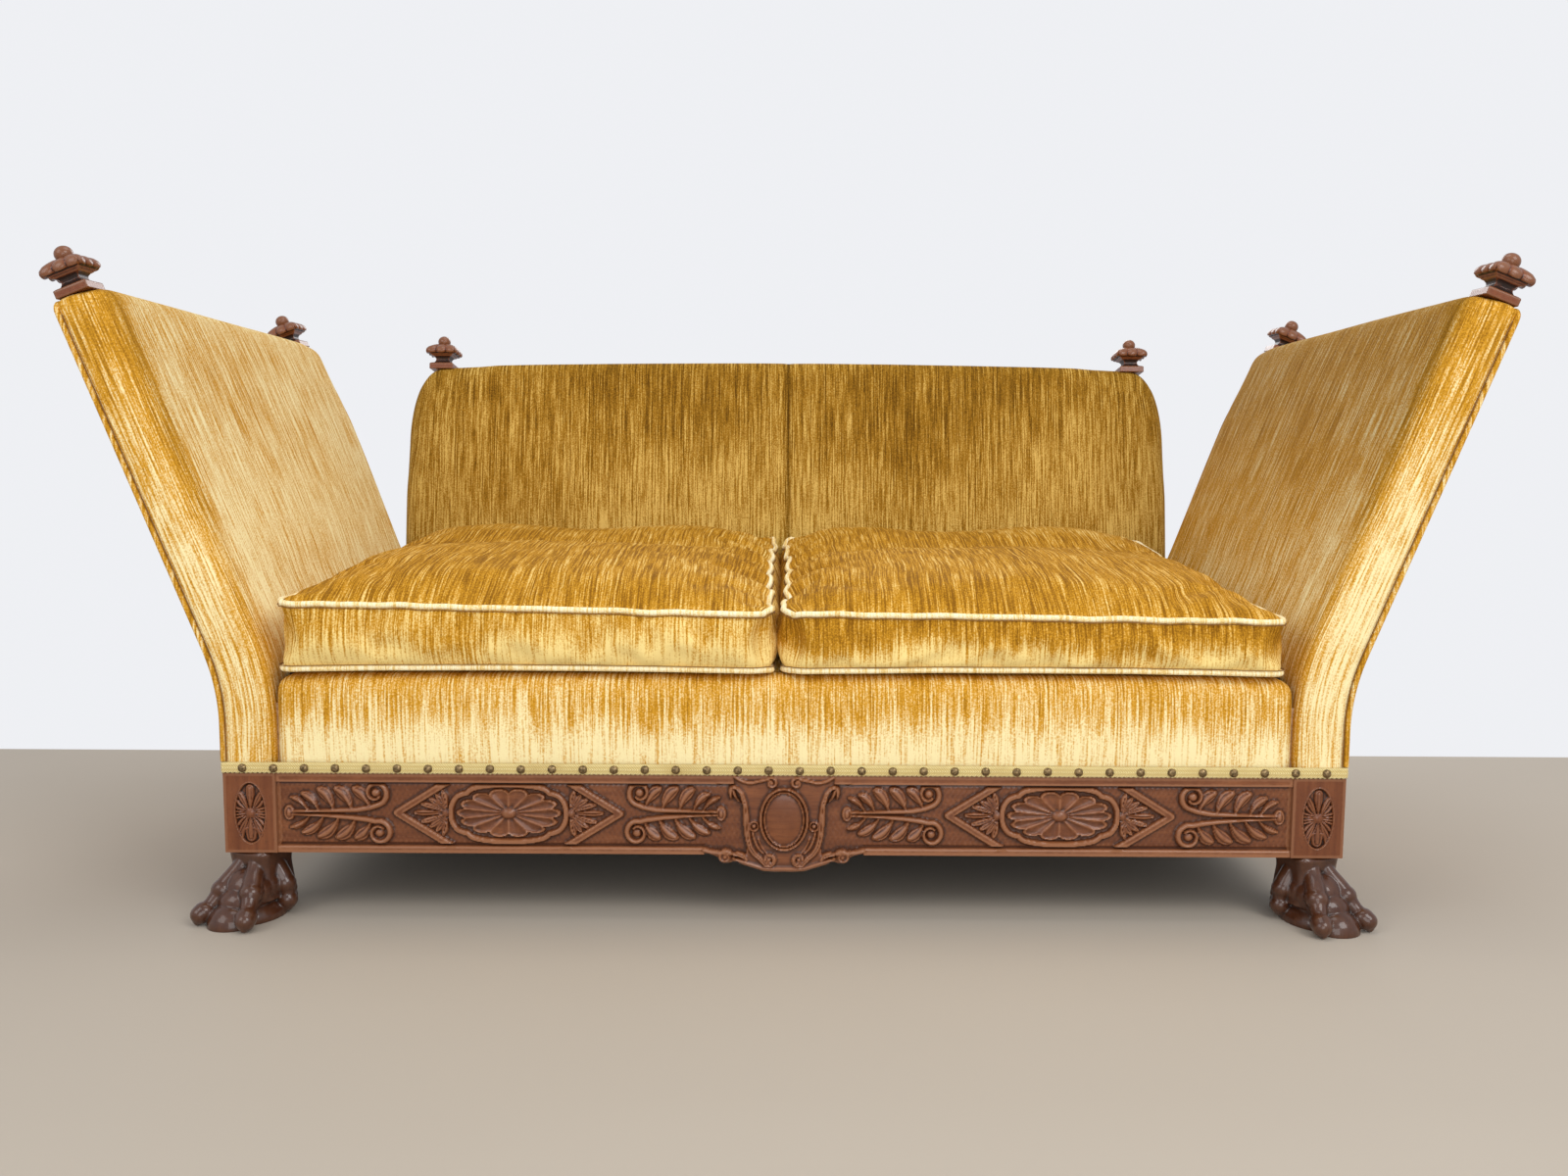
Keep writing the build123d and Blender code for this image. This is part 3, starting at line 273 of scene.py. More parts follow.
def velvet_material(name, deep, full, pale, flat_nap_and_light=None):
    """Velvet with streaks along its cloth map, a painted share of pale pile that is partly worn pile and
    partly painted sheen, and a painted shade; or with one share all over.
    """
    material, tree, surface = blank_material(name)
    for socket, value in (
        ("Sheen Weight", 0.03),
        ("Sheen Roughness", 0.35),
        ("Sheen Tint", (1.0, 0.75, 0.3, 1)),
        ("Specular IOR Level", 0.08),
    ):
        surface.inputs[socket].default_value = value
    group = add_node(tree, "ShaderNodeGroup", node_tree=velvet, Deep=deep, Full=full, Pale=pale)
    where = object_place(tree)
    tree.links.new(where, group.inputs["Object"])
    if flat_nap_and_light is None:
        cloth_map = add_node(tree, "ShaderNodeUVMap", uv_map="cloth")
        tree.links.new(cloth_map.outputs["UV"], group.inputs["Cloth"])
        for name in ("nap", "shade"):
            painted = add_node(tree, "ShaderNodeAttribute", attribute_name=name)
            tree.links.new(painted.outputs["Fac"], group.inputs[name.title()])
    else:
        tree.links.new(where, group.inputs["Cloth"])
        group.inputs["Nap"].default_value = flat_nap_and_light
    dressed(tree, surface, *group.outputs, 0.45, 0.0012)
    return material


arm_velvet = velvet_material("arm_velvet", ochre, gold, straw)


def box_between(name, low, high):
    """A plain box between two corners."""
    middle = [(a + b) / 2 for a, b in zip(low, high)]
    block = added(name, bpy.ops.mesh.primitive_cube_add, size=1, location=middle)
    block.scale = [b - a for a, b in zip(low, high)]
    bpy.ops.object.transform_apply(location=True, rotation=True, scale=True)
    return block


def gridded_block(name, low, high, cell, seams=()):
    """A block of quads about one cell wide, with close cuts at the seams, each (axis, place)."""
    block = box_between(name, low, high)
    bpy.context.tool_settings.mesh_select_mode = (False, True, False)
    bpy.ops.object.mode_set(mode="EDIT")
    for axis in range(3):
        cuts = min(99, max(1, round((high[axis] - low[axis]) / cell) - 1))
        mesh = bmesh.from_edit_mesh(block.data)
        for edge in mesh.edges:
            run = edge.verts[1].co - edge.verts[0].co
            edge.select_set(abs(run[axis]) > 0.9 * run.length)
        bmesh.update_edit_mesh(block.data)
        bpy.ops.mesh.subdivide(number_cuts=cuts)
    for axis, place in seams:
        bpy.ops.mesh.select_all(action="SELECT")
        normal = [float(number == axis) for number in range(3)]
        bpy.ops.mesh.bisect(plane_co=[place * part for part in normal], plane_no=normal)
    bpy.ops.object.mode_set(mode="OBJECT")
    return block


def softened(place, low, high, low_radii, high_radii):
    """A place on a block's skin moved onto its rounded edges, with a radius for each side."""
    inner, turn = [], []
    for p, a, b, r, s in zip(place, low, high, low_radii, high_radii):
        if p < a + r:
            inner.append(a + r)
            turn.append((p - a - r) / r)
        elif p > b - s:
            inner.append(b - s)
            turn.append((p - b + s) / s)
        else:
            inner.append(p)
            turn.append(0.0)
    length = sqrt(sum(t * t for t in turn)) or 1.0
    longest = max(abs(t) for t in turn) or 1.0
    out = []
    for p, t, i, r, s in zip(place, turn, inner, low_radii, high_radii):
        reach = r if t < 0 else s
        out.append(i + reach * t * longest / length)
    return out


def bell(distance, width):
    """A soft bump, 1 at the middle and near 0 beyond its width."""
    return exp(-((distance / width) ** 2))


def eased(value, low, high):
    """A smooth step from 0 to 1."""
    t = min(1.0, max(0.0, (value - low) / (high - low)))
    return t * t * (3 - 2 * t)


def ripple(*place):
    """Smooth noise at a place, between -1 and 1."""
    return noise.noise(Vector(place))


def smooth_faces(piece):
    """Shades every face smooth."""
    for polygon in piece.data.polygons:
        polygon.use_smooth = True
    return piece


def cover_block(block, cloth_rule, shape_rule, nap_and_light_rule):
    """Maps the cloth while the block is straight, shapes it, and paints its share of pale pile, partly real
    wear and partly painted sheen, and its painted shade.
    """
    mesh = block.data
    cloth = mesh.uv_layers[0]
    cloth.name = "cloth"
    for polygon in mesh.polygons:
        side = max(range(3), key=lambda axis: abs(polygon.normal[axis]))
        sign = 1 if polygon.normal[side] > 0 else -1
        for loop in polygon.loop_indices:
            spot = mesh.vertices[mesh.loops[loop].vertex_index].co
            cloth.data[loop].uv = cloth_rule(spot, side, sign)
    painted = []
    for vertex in mesh.vertices:
        straight = vertex.co.copy()
        vertex.co = shape_rule(straight)
        painted.append(nap_and_light_rule(straight, vertex.co))
    for name, values in zip(("nap", "shade"), zip(*painted)):
        mesh.attributes.new(name, "FLOAT", "POINT").data.foreach_set("value", values)
    return smooth_faces(block)


def finished(piece, material, body, slot, *stands_for):
    """Gives a finished piece its material and the body it rides on, and hides the parts it stands for; the
    slot is not used.
    """
    piece.data.materials.clear()
    piece.data.materials.append(material)
    if body:
        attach(piece, body)
    if stands_for:
        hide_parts(*stands_for)
    return piece


def worked(piece, kind, **settings):
    """Applies one modifier to a piece."""
    select_only(piece)
    work = piece.modifiers.new("work", kind)
    for name, value in settings.items():
        setattr(work, name, value)
    bpy.ops.object.modifier_apply(modifier="work")


def face_outward(piece):
    """Turns every face of a closed piece outward."""
    select_only(piece)
    bpy.ops.object.mode_set(mode="EDIT")
    bpy.ops.mesh.select_all(action="SELECT")
    bpy.ops.mesh.normals_make_consistent(inside=False)
    bpy.ops.object.mode_set(mode="OBJECT")


below_bend = hinge_z - rail_top - bend_radius * tan(arm_lean / 2)
past_bend = below_bend + bend_radius * arm_lean
arm_length = past_bend + 0.5324 - bend_radius * tan(arm_lean / 2)


def arm_place(u, y, s):
    """A place in the right arm: u outward from the slab's middle, s up its length from the rail."""
    centre_x, centre_z = hinge_x + bend_radius, rail_top + below_bend
    if s < below_bend:
        return Vector((hinge_x + u, front + y, rail_top + s))
    turn = min((s - below_bend) / bend_radius, arm_lean)
    reach = bend_radius - u
    rest = max(0.0, s - past_bend)
    return Vector((
        centre_x - reach * cos(turn) + rest * sin(arm_lean),
        front + y,
        centre_z + reach * sin(turn) + rest * cos(arm_lean),
    ))


def arm_stretch(y, s):
    """How the arm's top falls a little, and its rear edge runs back a little, toward the rear."""
    back_share = y / arm_depth
    longer = (0.003 - 0.017 * back_share) * eased(s, 0.20, arm_length)
    return y + 0.020 * back_share**2 * eased(s, 0.20, 0.50), s + longer


def arm_shape(side):
    """How the straight arm block is padded, rounded and bent for one side of the sofa."""
    low, high = (-half_arm, 0.0, 0.0), (half_arm, arm_depth, arm_length)

    def shape(spot):
        u, y, s = spot
        rise = eased(s, 0.10, 0.42)
        inner = 0.014 + 0.026 * rise
        soft_front = 0.006 + (inner - 0.006) * eased(-u, -0.020, 0.014)
        rear = 0.010 + 0.038 * eased(s, arm_length - 0.18, arm_length - 0.04)
        crest = 0.013 - 0.002 * eased(-u, -0.030, 0.010)
        crest += 0.018 * eased(y, arm_depth - 0.11, arm_depth - 0.03)
        u, y, s = softened((u, y, s), low, high, (inner, soft_front, 0.001), (0.006, rear, crest))
        across = (2 * y / arm_depth - 1) ** 2
        up = (2 * (s - 0.24) / (arm_length - 0.24) - 1) ** 2 if s > 0.24 else 1.0
        puff = 0.005 * (1 - across**2) * (1 - min(1.0, up) ** 2)
        drift = ripple(y * 5, s * 4, side * 7.0)
        if u < 0:
            u -= puff + 0.0016 * drift * eased(s, 0.22, 0.34)
        y += 0.0012 * ripple(s * 9, u * 12, side * 3.0) * (1 - y / arm_depth)
        spot = arm_place(u, *arm_stretch(y, s))
        return Vector((side * spot.x, spot.y, spot.z))

    return shape


def arm_cloth(spot, side, sign):
    """The cover is wrapped from the inside round the front; the top and outside continue it."""
    u, y, s = spot
    if side == 1:
        return (-(u + half_arm) if sign < 0 else arm_depth + u, s)
    if side == 2:
        return (y, s + (u + half_arm) * sign)
    return (y if sign < 0 else y + 0.31, s)


def arm_nap_and_light(straight, placed):
    """Full gold on the front and round its turn, pale low down as painted sheen; the inner face is darker
    and duller with painted shade, more on the right arm, and holds a band of painted highlight.
    """
    u, y, s = straight
    high = eased(s, 0.10, 0.60)
    drift = noise.noise(placed * 5)
    left = placed.x < 0
    if y < 1e-4:
        # The front: painted sheen, paler low down and toward the outer edge, more on the right arm than the
        # left, with painted shade along the inner turn.
        fade = 1 - eased(s, 0.30, 0.62)
        outward = 0.26 * (u + half_arm) / (2 * half_arm) - 0.10
        nap = 0.38 + (0.36 if left else 0.50) * fade**1.4 + outward * (1 - fade) + 0.10 * drift
        return nap - 0.24 * bell(u + half_arm, 0.018) * fade, 0.0
    if u <= -half_arm + 1e-5:
        # The inner face: painted shade, heavier on the right arm and in a band near the turn, and a painted
        # highlight where lit.
        inward = eased(y, 0.010, 0.075)
        lit = bell(y - 0.085, 0.035) * bell(s - 0.30, 0.16)
        nap = (0.85 - 0.12 * high) if left else (0.63 - 0.24 * high)
        shade = (0.17 * high) if left else (0.05 + 0.37 * high)
        turn = 0.33 + 0.22 * (1 - high)
        shade += 0.16 * high * bell(y - 0.016, 0.014)
        return turn + (nap - turn) * inward + 0.12 * drift + 0.16 * lit, shade * eased(y, 0.0, 0.03)
    # Top, outside and rear: an even painted shade.
    return 0.50 + 0.12 * drift, 0.12


def bend_with_arm(piece):
    """Bakes the piece's placement into its mesh."""
    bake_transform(piece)


for side, hand in sides:
    low, high = (-half_arm, 0.0, 0.0), (half_arm, arm_depth, arm_length)
    cover = gridded_block(f"{hand}_arm_cover", low, high, 0.012)
    cover_block(cover, arm_cloth, arm_shape(side), arm_nap_and_light)
    if side < 0:
        face_outward(cover)
    worked(cover, "SUBSURF", levels=1)
    covered = [f"{hand}_{node}" for node in ("arm_pad", "lower_arm", "arm_outside_panel")]
    finished(cover, arm_velvet, None, "gold_velvet", *covered)
    bend_with_arm(cover)

# Arm piping: a cord covered in the same velvet, sewn into the outer front edge and along the top.
gold_piping = velvet_material("gold_piping", ochre, gold, straw, flat_nap_and_light=0.48)
# Thin dark cords laid in the grooves beside the piping: painted shadow lines.
seam_shadow_cord, tree, surface = blank_material("seam_shadow_cord", Roughness=0.9)
surface.inputs["Base Color"].default_value = (0.20, 0.090, 0.018, 1)
arm_piping_radius, seam_shadow_radius = 0.0034, 0.0006


def round_bar(name, places, radius, closed=False, roundness=3, swells=None):
    """A round bar through a row of places; with swells its line is soft and its thickness changes."""
    line = bpy.data.curves.new(name, "CURVE")
    line.dimensions = "3D"
    line.bevel_depth, line.bevel_resolution, line.use_fill_caps = radius, roundness, True
    spline = line.splines.new("NURBS" if swells else "POLY")
    spline.points.add(len(places) - 1)
    for number, (point, place) in enumerate(zip(spline.points, places)):
        point.co = (*place, 1)
        if swells:
            point.radius = swells[number]
    spline.use_cyclic_u = closed
    if swells:
        spline.use_endpoint_u, spline.order_u, spline.resolution_u = True, 3, 8
    bar = bpy.data.objects.new(name, line)
    bpy.context.scene.collection.objects.link(bar)
    select_only(bar)
    bpy.ops.object.convert(target="MESH")
    bar = bpy.context.object
    bar.name = bar.data.name = name
    return smooth_faces(bar)


def arm_line(side, inset=0.0, forward=0.0):
    """The line of the piping: up the outer front edge, round the corner and back along the top."""
    places = [(0.0, 0.018 + step * (arm_length - 0.038) / 80) for step in range(81)]
    for step in range(1, 9):
        turn = step * pi / 16
        places.append((0.017 * (1 - cos(turn)), arm_length - 0.019 + 0.017 * sin(turn)))
    places += [(0.017 + step * (arm_depth - 0.05) / 40, arm_length - 0.002) for step in range(1, 40)]
    line = []
    for y, s in places:
        spot = arm_place(half_arm - 0.001 - inset, *arm_stretch(y + 0.001 - forward, s - 0.002))
        line.append((side * spot.x, spot.y, spot.z))
    return line


def joined(name, pieces):
    """Several pieces made one, under a new name."""
    select_only(*pieces)
    bpy.ops.object.join()
    whole = bpy.context.object
    whole.name = whole.data.name = name
    return whole


for side, hand in sides:
    for name, line, radius, finish in (
        (f"{hand}_arm_cord", arm_line(side), arm_piping_radius, gold_piping),
        (f"{hand}_arm_stitches", arm_line(side, 0.0052, 0.0016)[:81], seam_shadow_radius, seam_shadow_cord),
    ):
        cord = round_bar(name, line, radius)
        face_outward(cord)
        finished(cord, finish, None, "velvet_piping", f"{hand}_arm_piping")
        if side > 0:
            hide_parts("lower_arm_piping")
        bend_with_arm(cord)

# Front border: stuffed velvet over the front beam, rolled over at the top; and the platform behind it.
seat_half = 0.664
deck_top = 0.326
border_rear = 0.061
seat_velvet = velvet_material("seat_velvet", ochre, gold, straw)


def border_shape(spot):
    """Rounds the border's top and ends, and lets its face stand out a little."""
    x, y, z = spot
    low, high = (-seat_half + 0.0005, 0.002, rail_top), (seat_half - 0.0005, border_rear, deck_top)
    edge = 0.012 + 0.004 * eased(z, rail_top, deck_top)
    x, y, z = softened((x, y, z), low, high, (edge, 0.022, 0.001), (edge, 0.004, 0.020))
    up = (z - rail_top) / (deck_top - rail_top)
    if y < 0.03:
        y -= 0.005 * sin(pi * min(1.0, max(0.0, up))) * (1 - (x / seat_half) ** 8)
        y += 0.0012 * ripple(x * 7, z * 9, 4.0)
    z -= 0.004 * eased(abs(x), seat_half - 0.06, seat_half) * up
    return Vector((x, front + y, z))


def front_cloth(spot, side, sign):
    """Streaks run up the front and on over the top."""
    x, y, z = spot
    if side == 0:
        return (y, z)
    if side == 2:
        return (x, z + y)
    return (x, z)


def border_nap_and_light(straight, placed):
    """Deep on the roll, pale below it, as painted sheen; the ends, against the arms, are darkened with
    painted shade.
    """
    low = 1 - eased(placed.z + 0.012 * ripple(placed.x * 6, 0, 3), 0.225, 0.292)
    end = bell(seat_half - abs(placed.x), 0.006)
    return 0.54 + 0.48 * low + 0.10 * noise.noise(placed * 9) - 0.3 * end, 0.2 * end


low, high = (-seat_half, 0.002, rail_top), (seat_half, border_rear, deck_top)
border = gridded_block("front_border_cover", low, high, 0.013)
cover_block(border, front_cloth, border_shape, border_nap_and_light)
worked(border, "SUBSURF", levels=1)
finished(border, seat_velvet, "base", "gold_velvet", "front_border")


def platform_shape(spot):
    """A taut, flat cover."""
    return Vector((spot.x, front + spot.y, spot.z))


deck_low, deck_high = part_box("seat_deck")
low = (deck_low.x, deck_low.y - front, deck_low.z)
high = (deck_high.x, deck_high.y - front - 0.001, deck_high.z)
platform = gridded_block("seat_platform", low, high, 0.045)
# An even painted shade over the platform, which lies under the cushions.
cover_block(platform, front_cloth, platform_shape, lambda straight, placed: (0.45, 0.1))
finished(platform, seat_velvet, "base", "gold_velvet", "seat_deck")

# Back: one stuffed slab that leans back between the rear corners, with a seam down its middle,
# rounded shoulders and a piped outside panel.
back_tilt = radians(8.0)
back_half = 0.712
back_thickness = 0.085
back_front = 0.7462
back_foot = 0.100
back_corner = 0.581
back_seam_x = 0.004
back_piping_radius = 0.0038
# A darker copy of the gold velvet for the back: painted shade.
back_velvet = velvet_material(
    "back_velvet", (0.14, 0.062, 0.004, 1), (0.41, 0.20, 0.015, 1), (0.84, 0.56, 0.15, 1)
)
shoulder_across, shoulder_down = 0.058, 0.135


def back_place(x, depth, v):
    """A place in the back: depth behind its front face, v up the slab from the rail."""
    return Vector((
        x,
        front + back_front + depth * cos(back_tilt) + v * sin(back_tilt),
        rail_top - depth * sin(back_tilt) + v * cos(back_tilt),
    ))


def back_rise(x):
    """How far the top stands above the frame's corners: it is arched a little."""
    return 0.006 + 0.010 * max(0.0, 1 - (x / (back_half - 0.045)) ** 2)


def back_shape(spot):
    """Rounded shoulders, an arched top, a soft face, the middle seam, and sides down to the rail."""
    x, depth, v = spot
    low, high = (-back_half, 0.0, back_foot), (back_half, back_thickness, back_corner)
    shoulder = 0.012 + (shoulder_across - 0.012) * eased(v, back_corner - 0.24, back_corner - shoulder_down)
    crest = 0.012 + (shoulder_down - 0.012) * eased(abs(x), back_half - 0.17, back_half - shoulder_across)
    roll = 0.026
    skirt = eased(abs(x), back_half - 0.0130, back_half - 0.001)
    skirt *= 1 - eased(v, back_foot, back_foot + 0.12)
    x, depth, v = softened((x, depth, v), low, high, (shoulder, roll, 0.001), (shoulder, 0.006, crest))
    v -= skirt * (back_foot - 0.0005 - depth * tan(back_tilt))
    v += back_rise(x) * eased(v, 0.35, back_corner)
    x += copysign(0.004 * sin(pi * min(1.0, v / 0.56)), x) * eased(abs(x), 0.55, back_half)
    forward = 1 - depth / back_thickness
    swell = 0.010 * (1 - (x / back_half) ** 6) * sin(pi * min(1.0, max(0.0, (v - 0.05) / 0.56)))
    seam = 0.0045 * bell(x - back_seam_x, 0.006) + 0.002 * bell(x - back_seam_x, 0.03)
    pucker = 0.0010 * ripple(x * 14, v * 18, 1.0) + 0.003 * ripple(x * 3, v * 3, 9.0)
    if depth < back_thickness * 0.4:
        depth -= (swell + pucker) * forward - seam
    else:
        v -= 0.5 * seam
        depth -= 0.004 * eased(depth, 0.5 * back_thickness, back_thickness)
    return back_place(x, depth, v)


def back_cloth(spot, side, sign):
    """Streaks run up the back, over its top and down behind."""
    x, depth, v = spot
    if side == 0:
        return (depth + sign, v)
    if side == 2:
        return (x, v + depth)
    return (x, v)


def back_nap_and_light(straight, placed):
    """Deep near the top, paler low down and toward the sides, as painted sheen; painted shade over the
    whole back, more toward the sides and along the middle seam.
    """
    high = eased(placed.z, 0.44, 0.78)
    side = eased(abs(placed.x), 0.50, 0.72)
    seam_shade = bell(straight.x - back_seam_x, 0.004)
    nap = 0.70 - 0.33 * high + 0.05 * side + 0.14 * noise.noise(placed * 4)
    return nap - 0.3 * seam_shade, 0.13 + 0.10 * side + 0.25 * seam_shade


seam_cuts = [(0, back_seam_x + step * 0.003) for step in range(-3, 4)]
low, high = (-back_half, 0.0, back_foot), (back_half, back_thickness, back_corner)
back = gridded_block("back_cover", low, high, 0.0145, [(2, back_foot + 0.003)] + seam_cuts)
cover_block(back, back_cloth, back_shape, back_nap_and_light)
worked(back, "SUBSURF", levels=1)
finished(back, back_velvet, "base", "gold_velvet", "back_pad", "back_outside_panel")

panel_low = (-back_half + 0.004, back_thickness - 0.004, 0.013)
panel_high = (back_half - 0.004, back_thickness + 0.0005, back_corner - 0.004)


def outside_shape(spot):
    """The flat panel behind, drawn in a little from the piped edge."""
    turned = shoulder_across - 0.004
    radii = (turned, 0.001, 0.001), (turned, 0.002, shoulder_down)
    x, depth, v = softened(spot, panel_low, panel_high, *radii)
    v += back_rise(x) * eased(v, 0.35, back_corner)
    depth += 0.0012 * ripple(x * 4, v * 4, 2.0)
    return back_place(x, depth, v)


outside = gridded_block("back_outside_cover", panel_low, panel_high, 0.016)
# An even painted shade over the outside panel.
cover_block(outside, back_cloth, outside_shape, lambda straight, placed: (0.5, 0.08))
finished(outside, back_velvet, "base", "gold_velvet", "back_outside_panel")

back_line = []
straight_up = back_corner - shoulder_down - 0.016
edges = [(-back_half + 0.002, 0.016 + step * straight_up / 40) for step in range(40)]
for step in range(17):
    turn = step * pi / 32
    x = -back_half + shoulder_across - (shoulder_across - 0.002) * cos(turn)
    edges.append((x, back_corner - shoulder_down + (shoulder_down - 0.002) * sin(turn)))
for x, v in edges:
    back_line.append(back_place(x, back_thickness, v + back_rise(x) * eased(v, 0.35, back_corner)))
for step in range(1, 80):
    x = (back_half - shoulder_across) * (step / 40 - 1)
    back_line.append(back_place(x, back_thickness, back_corner - 0.002 + back_rise(x)))
back_line += [Vector((-place.x, place.y, place.z)) for place in reversed(back_line[: len(edges)])]
back_cord = round_bar("back_cord", back_line, back_piping_radius)
finished(back_cord, gold_piping, "base", "velvet_piping", "back_piping")

# Loose seat cushions: feather-filled velvet cases with boxed sides, piped along both seams. They are
# crowned and slack, drawn in between their corners, with a valley across them and soft lobes behind.
# A darker copy of the gold velvet for the cushions: painted shade.
cushion_velvet = velvet_material(
    "cushion_velvet", (0.24, 0.10, 0.006, 1), (0.58, 0.275, 0.017, 1), (0.94, 0.72, 0.28, 1)
)
# A paler copy of the velvet piping for the cushions: partly worn pile, partly a painted highlight along the
# seams.
pale_piping = velvet_material(
    "pale_piping", (0.56, 0.30, 0.05, 1), (0.86, 0.62, 0.23, 1), (1.0, 0.90, 0.60, 1), flat_nap_and_light=0.78
)
cushion_depth_low, cushion_depth_high = -0.003, 0.748
cushion_floor = 0.3265
piping_radius, cushion_cord_radius = 0.004, 0.0039
corner_radius = 0.036
case_height = 0.09
# The cases stay within this of the middle, where the arms stand when they are upright.
arm_clear = 0.6568
cushions = {
    "left": dict(x=(-0.656, -0.0165), seam=(0.4195, 0.407), body="left_cushion", seed=3.0),
    "right": dict(x=(-0.0025, 0.648), seam=(0.409, 0.401), body="right_cushion", seed=8.0),
}


def cushion_rule(x_low, x_high, seam, seed):
    """The shape of one cushion as a rule from a straight block to the filled case."""
    half_w, half_d = (x_high - x_low) / 2, (cushion_depth_high - cushion_depth_low) / 2
    middle_x, middle_y = (x_high + x_low) / 2, (cushion_depth_high + cushion_depth_low) / 2
    outer = -1 if x_high < 0.1 else 1

    def outline(a, b):
        """The seam's place in plan: pointed at the outer front corner, rounded at the others."""
        gap_side = eased(-a * outer, 0.9, 1.0)
        gap_ruck = gap_side * (0.0030 * sin(b * 19 + seed) + 0.0010 * sin(b * 37))
        draw_x = gap_ruck + 0.009 * (1 - b * b) + 0.0025 * ripple(seed, b * 4, 1.0)
        draw_y = 0.007 * (1 - a * a) + 0.0025 * ripple(a * 4, seed, 2.0)
        if a * outer < 0 or b > 0:
            t = max(0.0, 1 - (1 - abs(a)) * half_w / corner_radius)
            s = max(0.0, 1 - (1 - abs(b)) * half_d / corner_radius)
            if t > 0 and s > 0:
                squeeze = max(t, s) / hypot(t, s)
                draw_x += corner_radius * t * (1 - squeeze)
                draw_y += corner_radius * s * (1 - squeeze)
                a, b = copysign(min(1.0, abs(a)), a), copysign(min(1.0, abs(b)), b)
        else:
            ear = bell(hypot((1 - abs(a)) * half_w, (1 - abs(b)) * half_d), 0.022)
            draw_x, draw_y = draw_x - 0.0035 * ear, draw_y - 0.003 * ear
        x = middle_x + a * half_w - copysign(draw_x, a)
        return x, middle_y + b * half_d - copysign(draw_y, b)

    def seam_height(a, b):
        """The height of the upper seam."""
        fore = seam[0] + (seam[1] - seam[0]) * (a + 1) / 2
        aft = 0.455 + 0.003 * ripple(a * 2, seed, 5.0)
        ruck = 0.002 * ripple(a * 7, b * 9, seed)
        gap_side = eased(-a * outer, 0.9, 1.0)
        ruck += gap_side * (0.0032 * cos(b * 17 + seed) + 0.0011 * cos(b * 33))
        return fore + (aft - fore) * ((b + 1) / 2) ** 1.15 + ruck

    def lower_seam(a, b):
        """The height of the lower seam, which stands a little off the border in front."""
        return cushion_floor + piping_radius + (0.0035 + 0.0025 * (1 - a * a)) * max(0.0, -b) ** 6

    def shape(spot):
        a, b = (spot.x - middle_x) / half_w, (spot.y - middle_y) / half_d
        c = spot.z / case_height - 0.5
        x, y = outline(a, b)
        top = seam_height(a, b)
        bottom = lower_seam(a, b)
        if c > 0.5 - 1e-4:
            edge = min(1 - abs(a), 1 - abs(b))
            crown = (max(0.0, 1 - abs(a) ** 3.2) * max(0.0, 1 - abs(b) ** 3.2)) ** 0.62
            swell = 0.044 - 0.014 * (b + 1) / 2
            valley = 0.016 * bell(b - 0.16 - 0.06 * a, 0.20) * (1 - a**6)
            lobes = -0.0085 * cos(pi * a / 0.64 + 0.15 * (seed - 3)) * eased(b, 0.2, 0.75)
            rumple = 0.0050 * ripple(x * 7, y * 6, seed)
            rumple += 0.0014 * ripple(x * 22, y * 18, seed)
            wander_a, wander_b = ripple(a * 5, seed, 0.0), ripple(b * 5, 0.0, seed)
            pull = 0.0022 * sin(a * 38 + 4 * wander_a) * bell(1 - abs(b), 0.10)
            pull += 0.0022 * sin(b * 44 + 4 * wander_b) * bell(1 - abs(a), 0.10)
            z = top + crown * (swell + rumple + lobes - valley) + pull * min(1.0, edge * 30)
            return Vector((x, front + y, z))
        if c < -0.5 + 1e-4:
            edge = min(1.0, 14 * min(1 - abs(a), 1 - abs(b)))
            inset = 1 - 0.010 * (1 - edge)
            x, y = middle_x + (x - middle_x) * inset, front + middle_y + (y - middle_y) * inset
            return Vector((x, y, bottom - (bottom - cushion_floor) * edge))
        share = c + 0.5
        bulge = 0.009 * sin(pi * share) ** 0.8
        crease = 0.0030 * ripple(x * 16, y * 16, c * 3 + seed) * sin(pi * share)
        out_a = ((0.5 if a * outer > 0 else 1.0) * bulge + crease) if abs(a) > 1 - 1e-4 else 0.0
        out_b = (bulge + crease) if abs(b) > 1 - 1e-4 else 0.0
        x += copysign(out_a, a) * (1 - abs(b) ** 12)
        y += copysign(out_b, b) * (1 - abs(a) ** 12)
        pinch = 0.0085 * sin(pi * share) * (abs(a) ** 12) * (abs(b) ** 12)
        x -= copysign(pinch, a)
        y -= copysign(pinch, b)
        x = max(-arm_clear, min(arm_clear, x))
        return Vector((x, front + y, bottom + (top - bottom) * share))

    def nap(straight, placed):
        """Deep on the crown, paler at the seams and toward the foot of the front, as painted sheen; painted
        shade toward the rear of the top, and the right cushion's front is painted deeper than the left's.
        """
        if straight.z > case_height * 0.999:
            a, b = (straight.x - middle_x) / half_w, (straight.y - middle_y) / half_d
            rim = bell(1 - max(abs(a), abs(b)), 0.02)
            dull = eased(b, 0.1, 0.8)
            drift = ripple(placed.x * 5, placed.y * 5, seed)
            return 0.32 + 0.10 * rim + 0.12 * dull + 0.13 * drift, 0.08 * dull
        low = 1 - straight.z / case_height
        blotch = ripple(placed.x * 8, placed.z * 14, seed)
        # The right cushion's front is kept deeper: painted shade.
        full = 0.56 if x_high < 0.1 else 0.27
        return full + (1.05 - full) * eased(low + 0.35 * blotch, 0.25, 0.95), 0.0

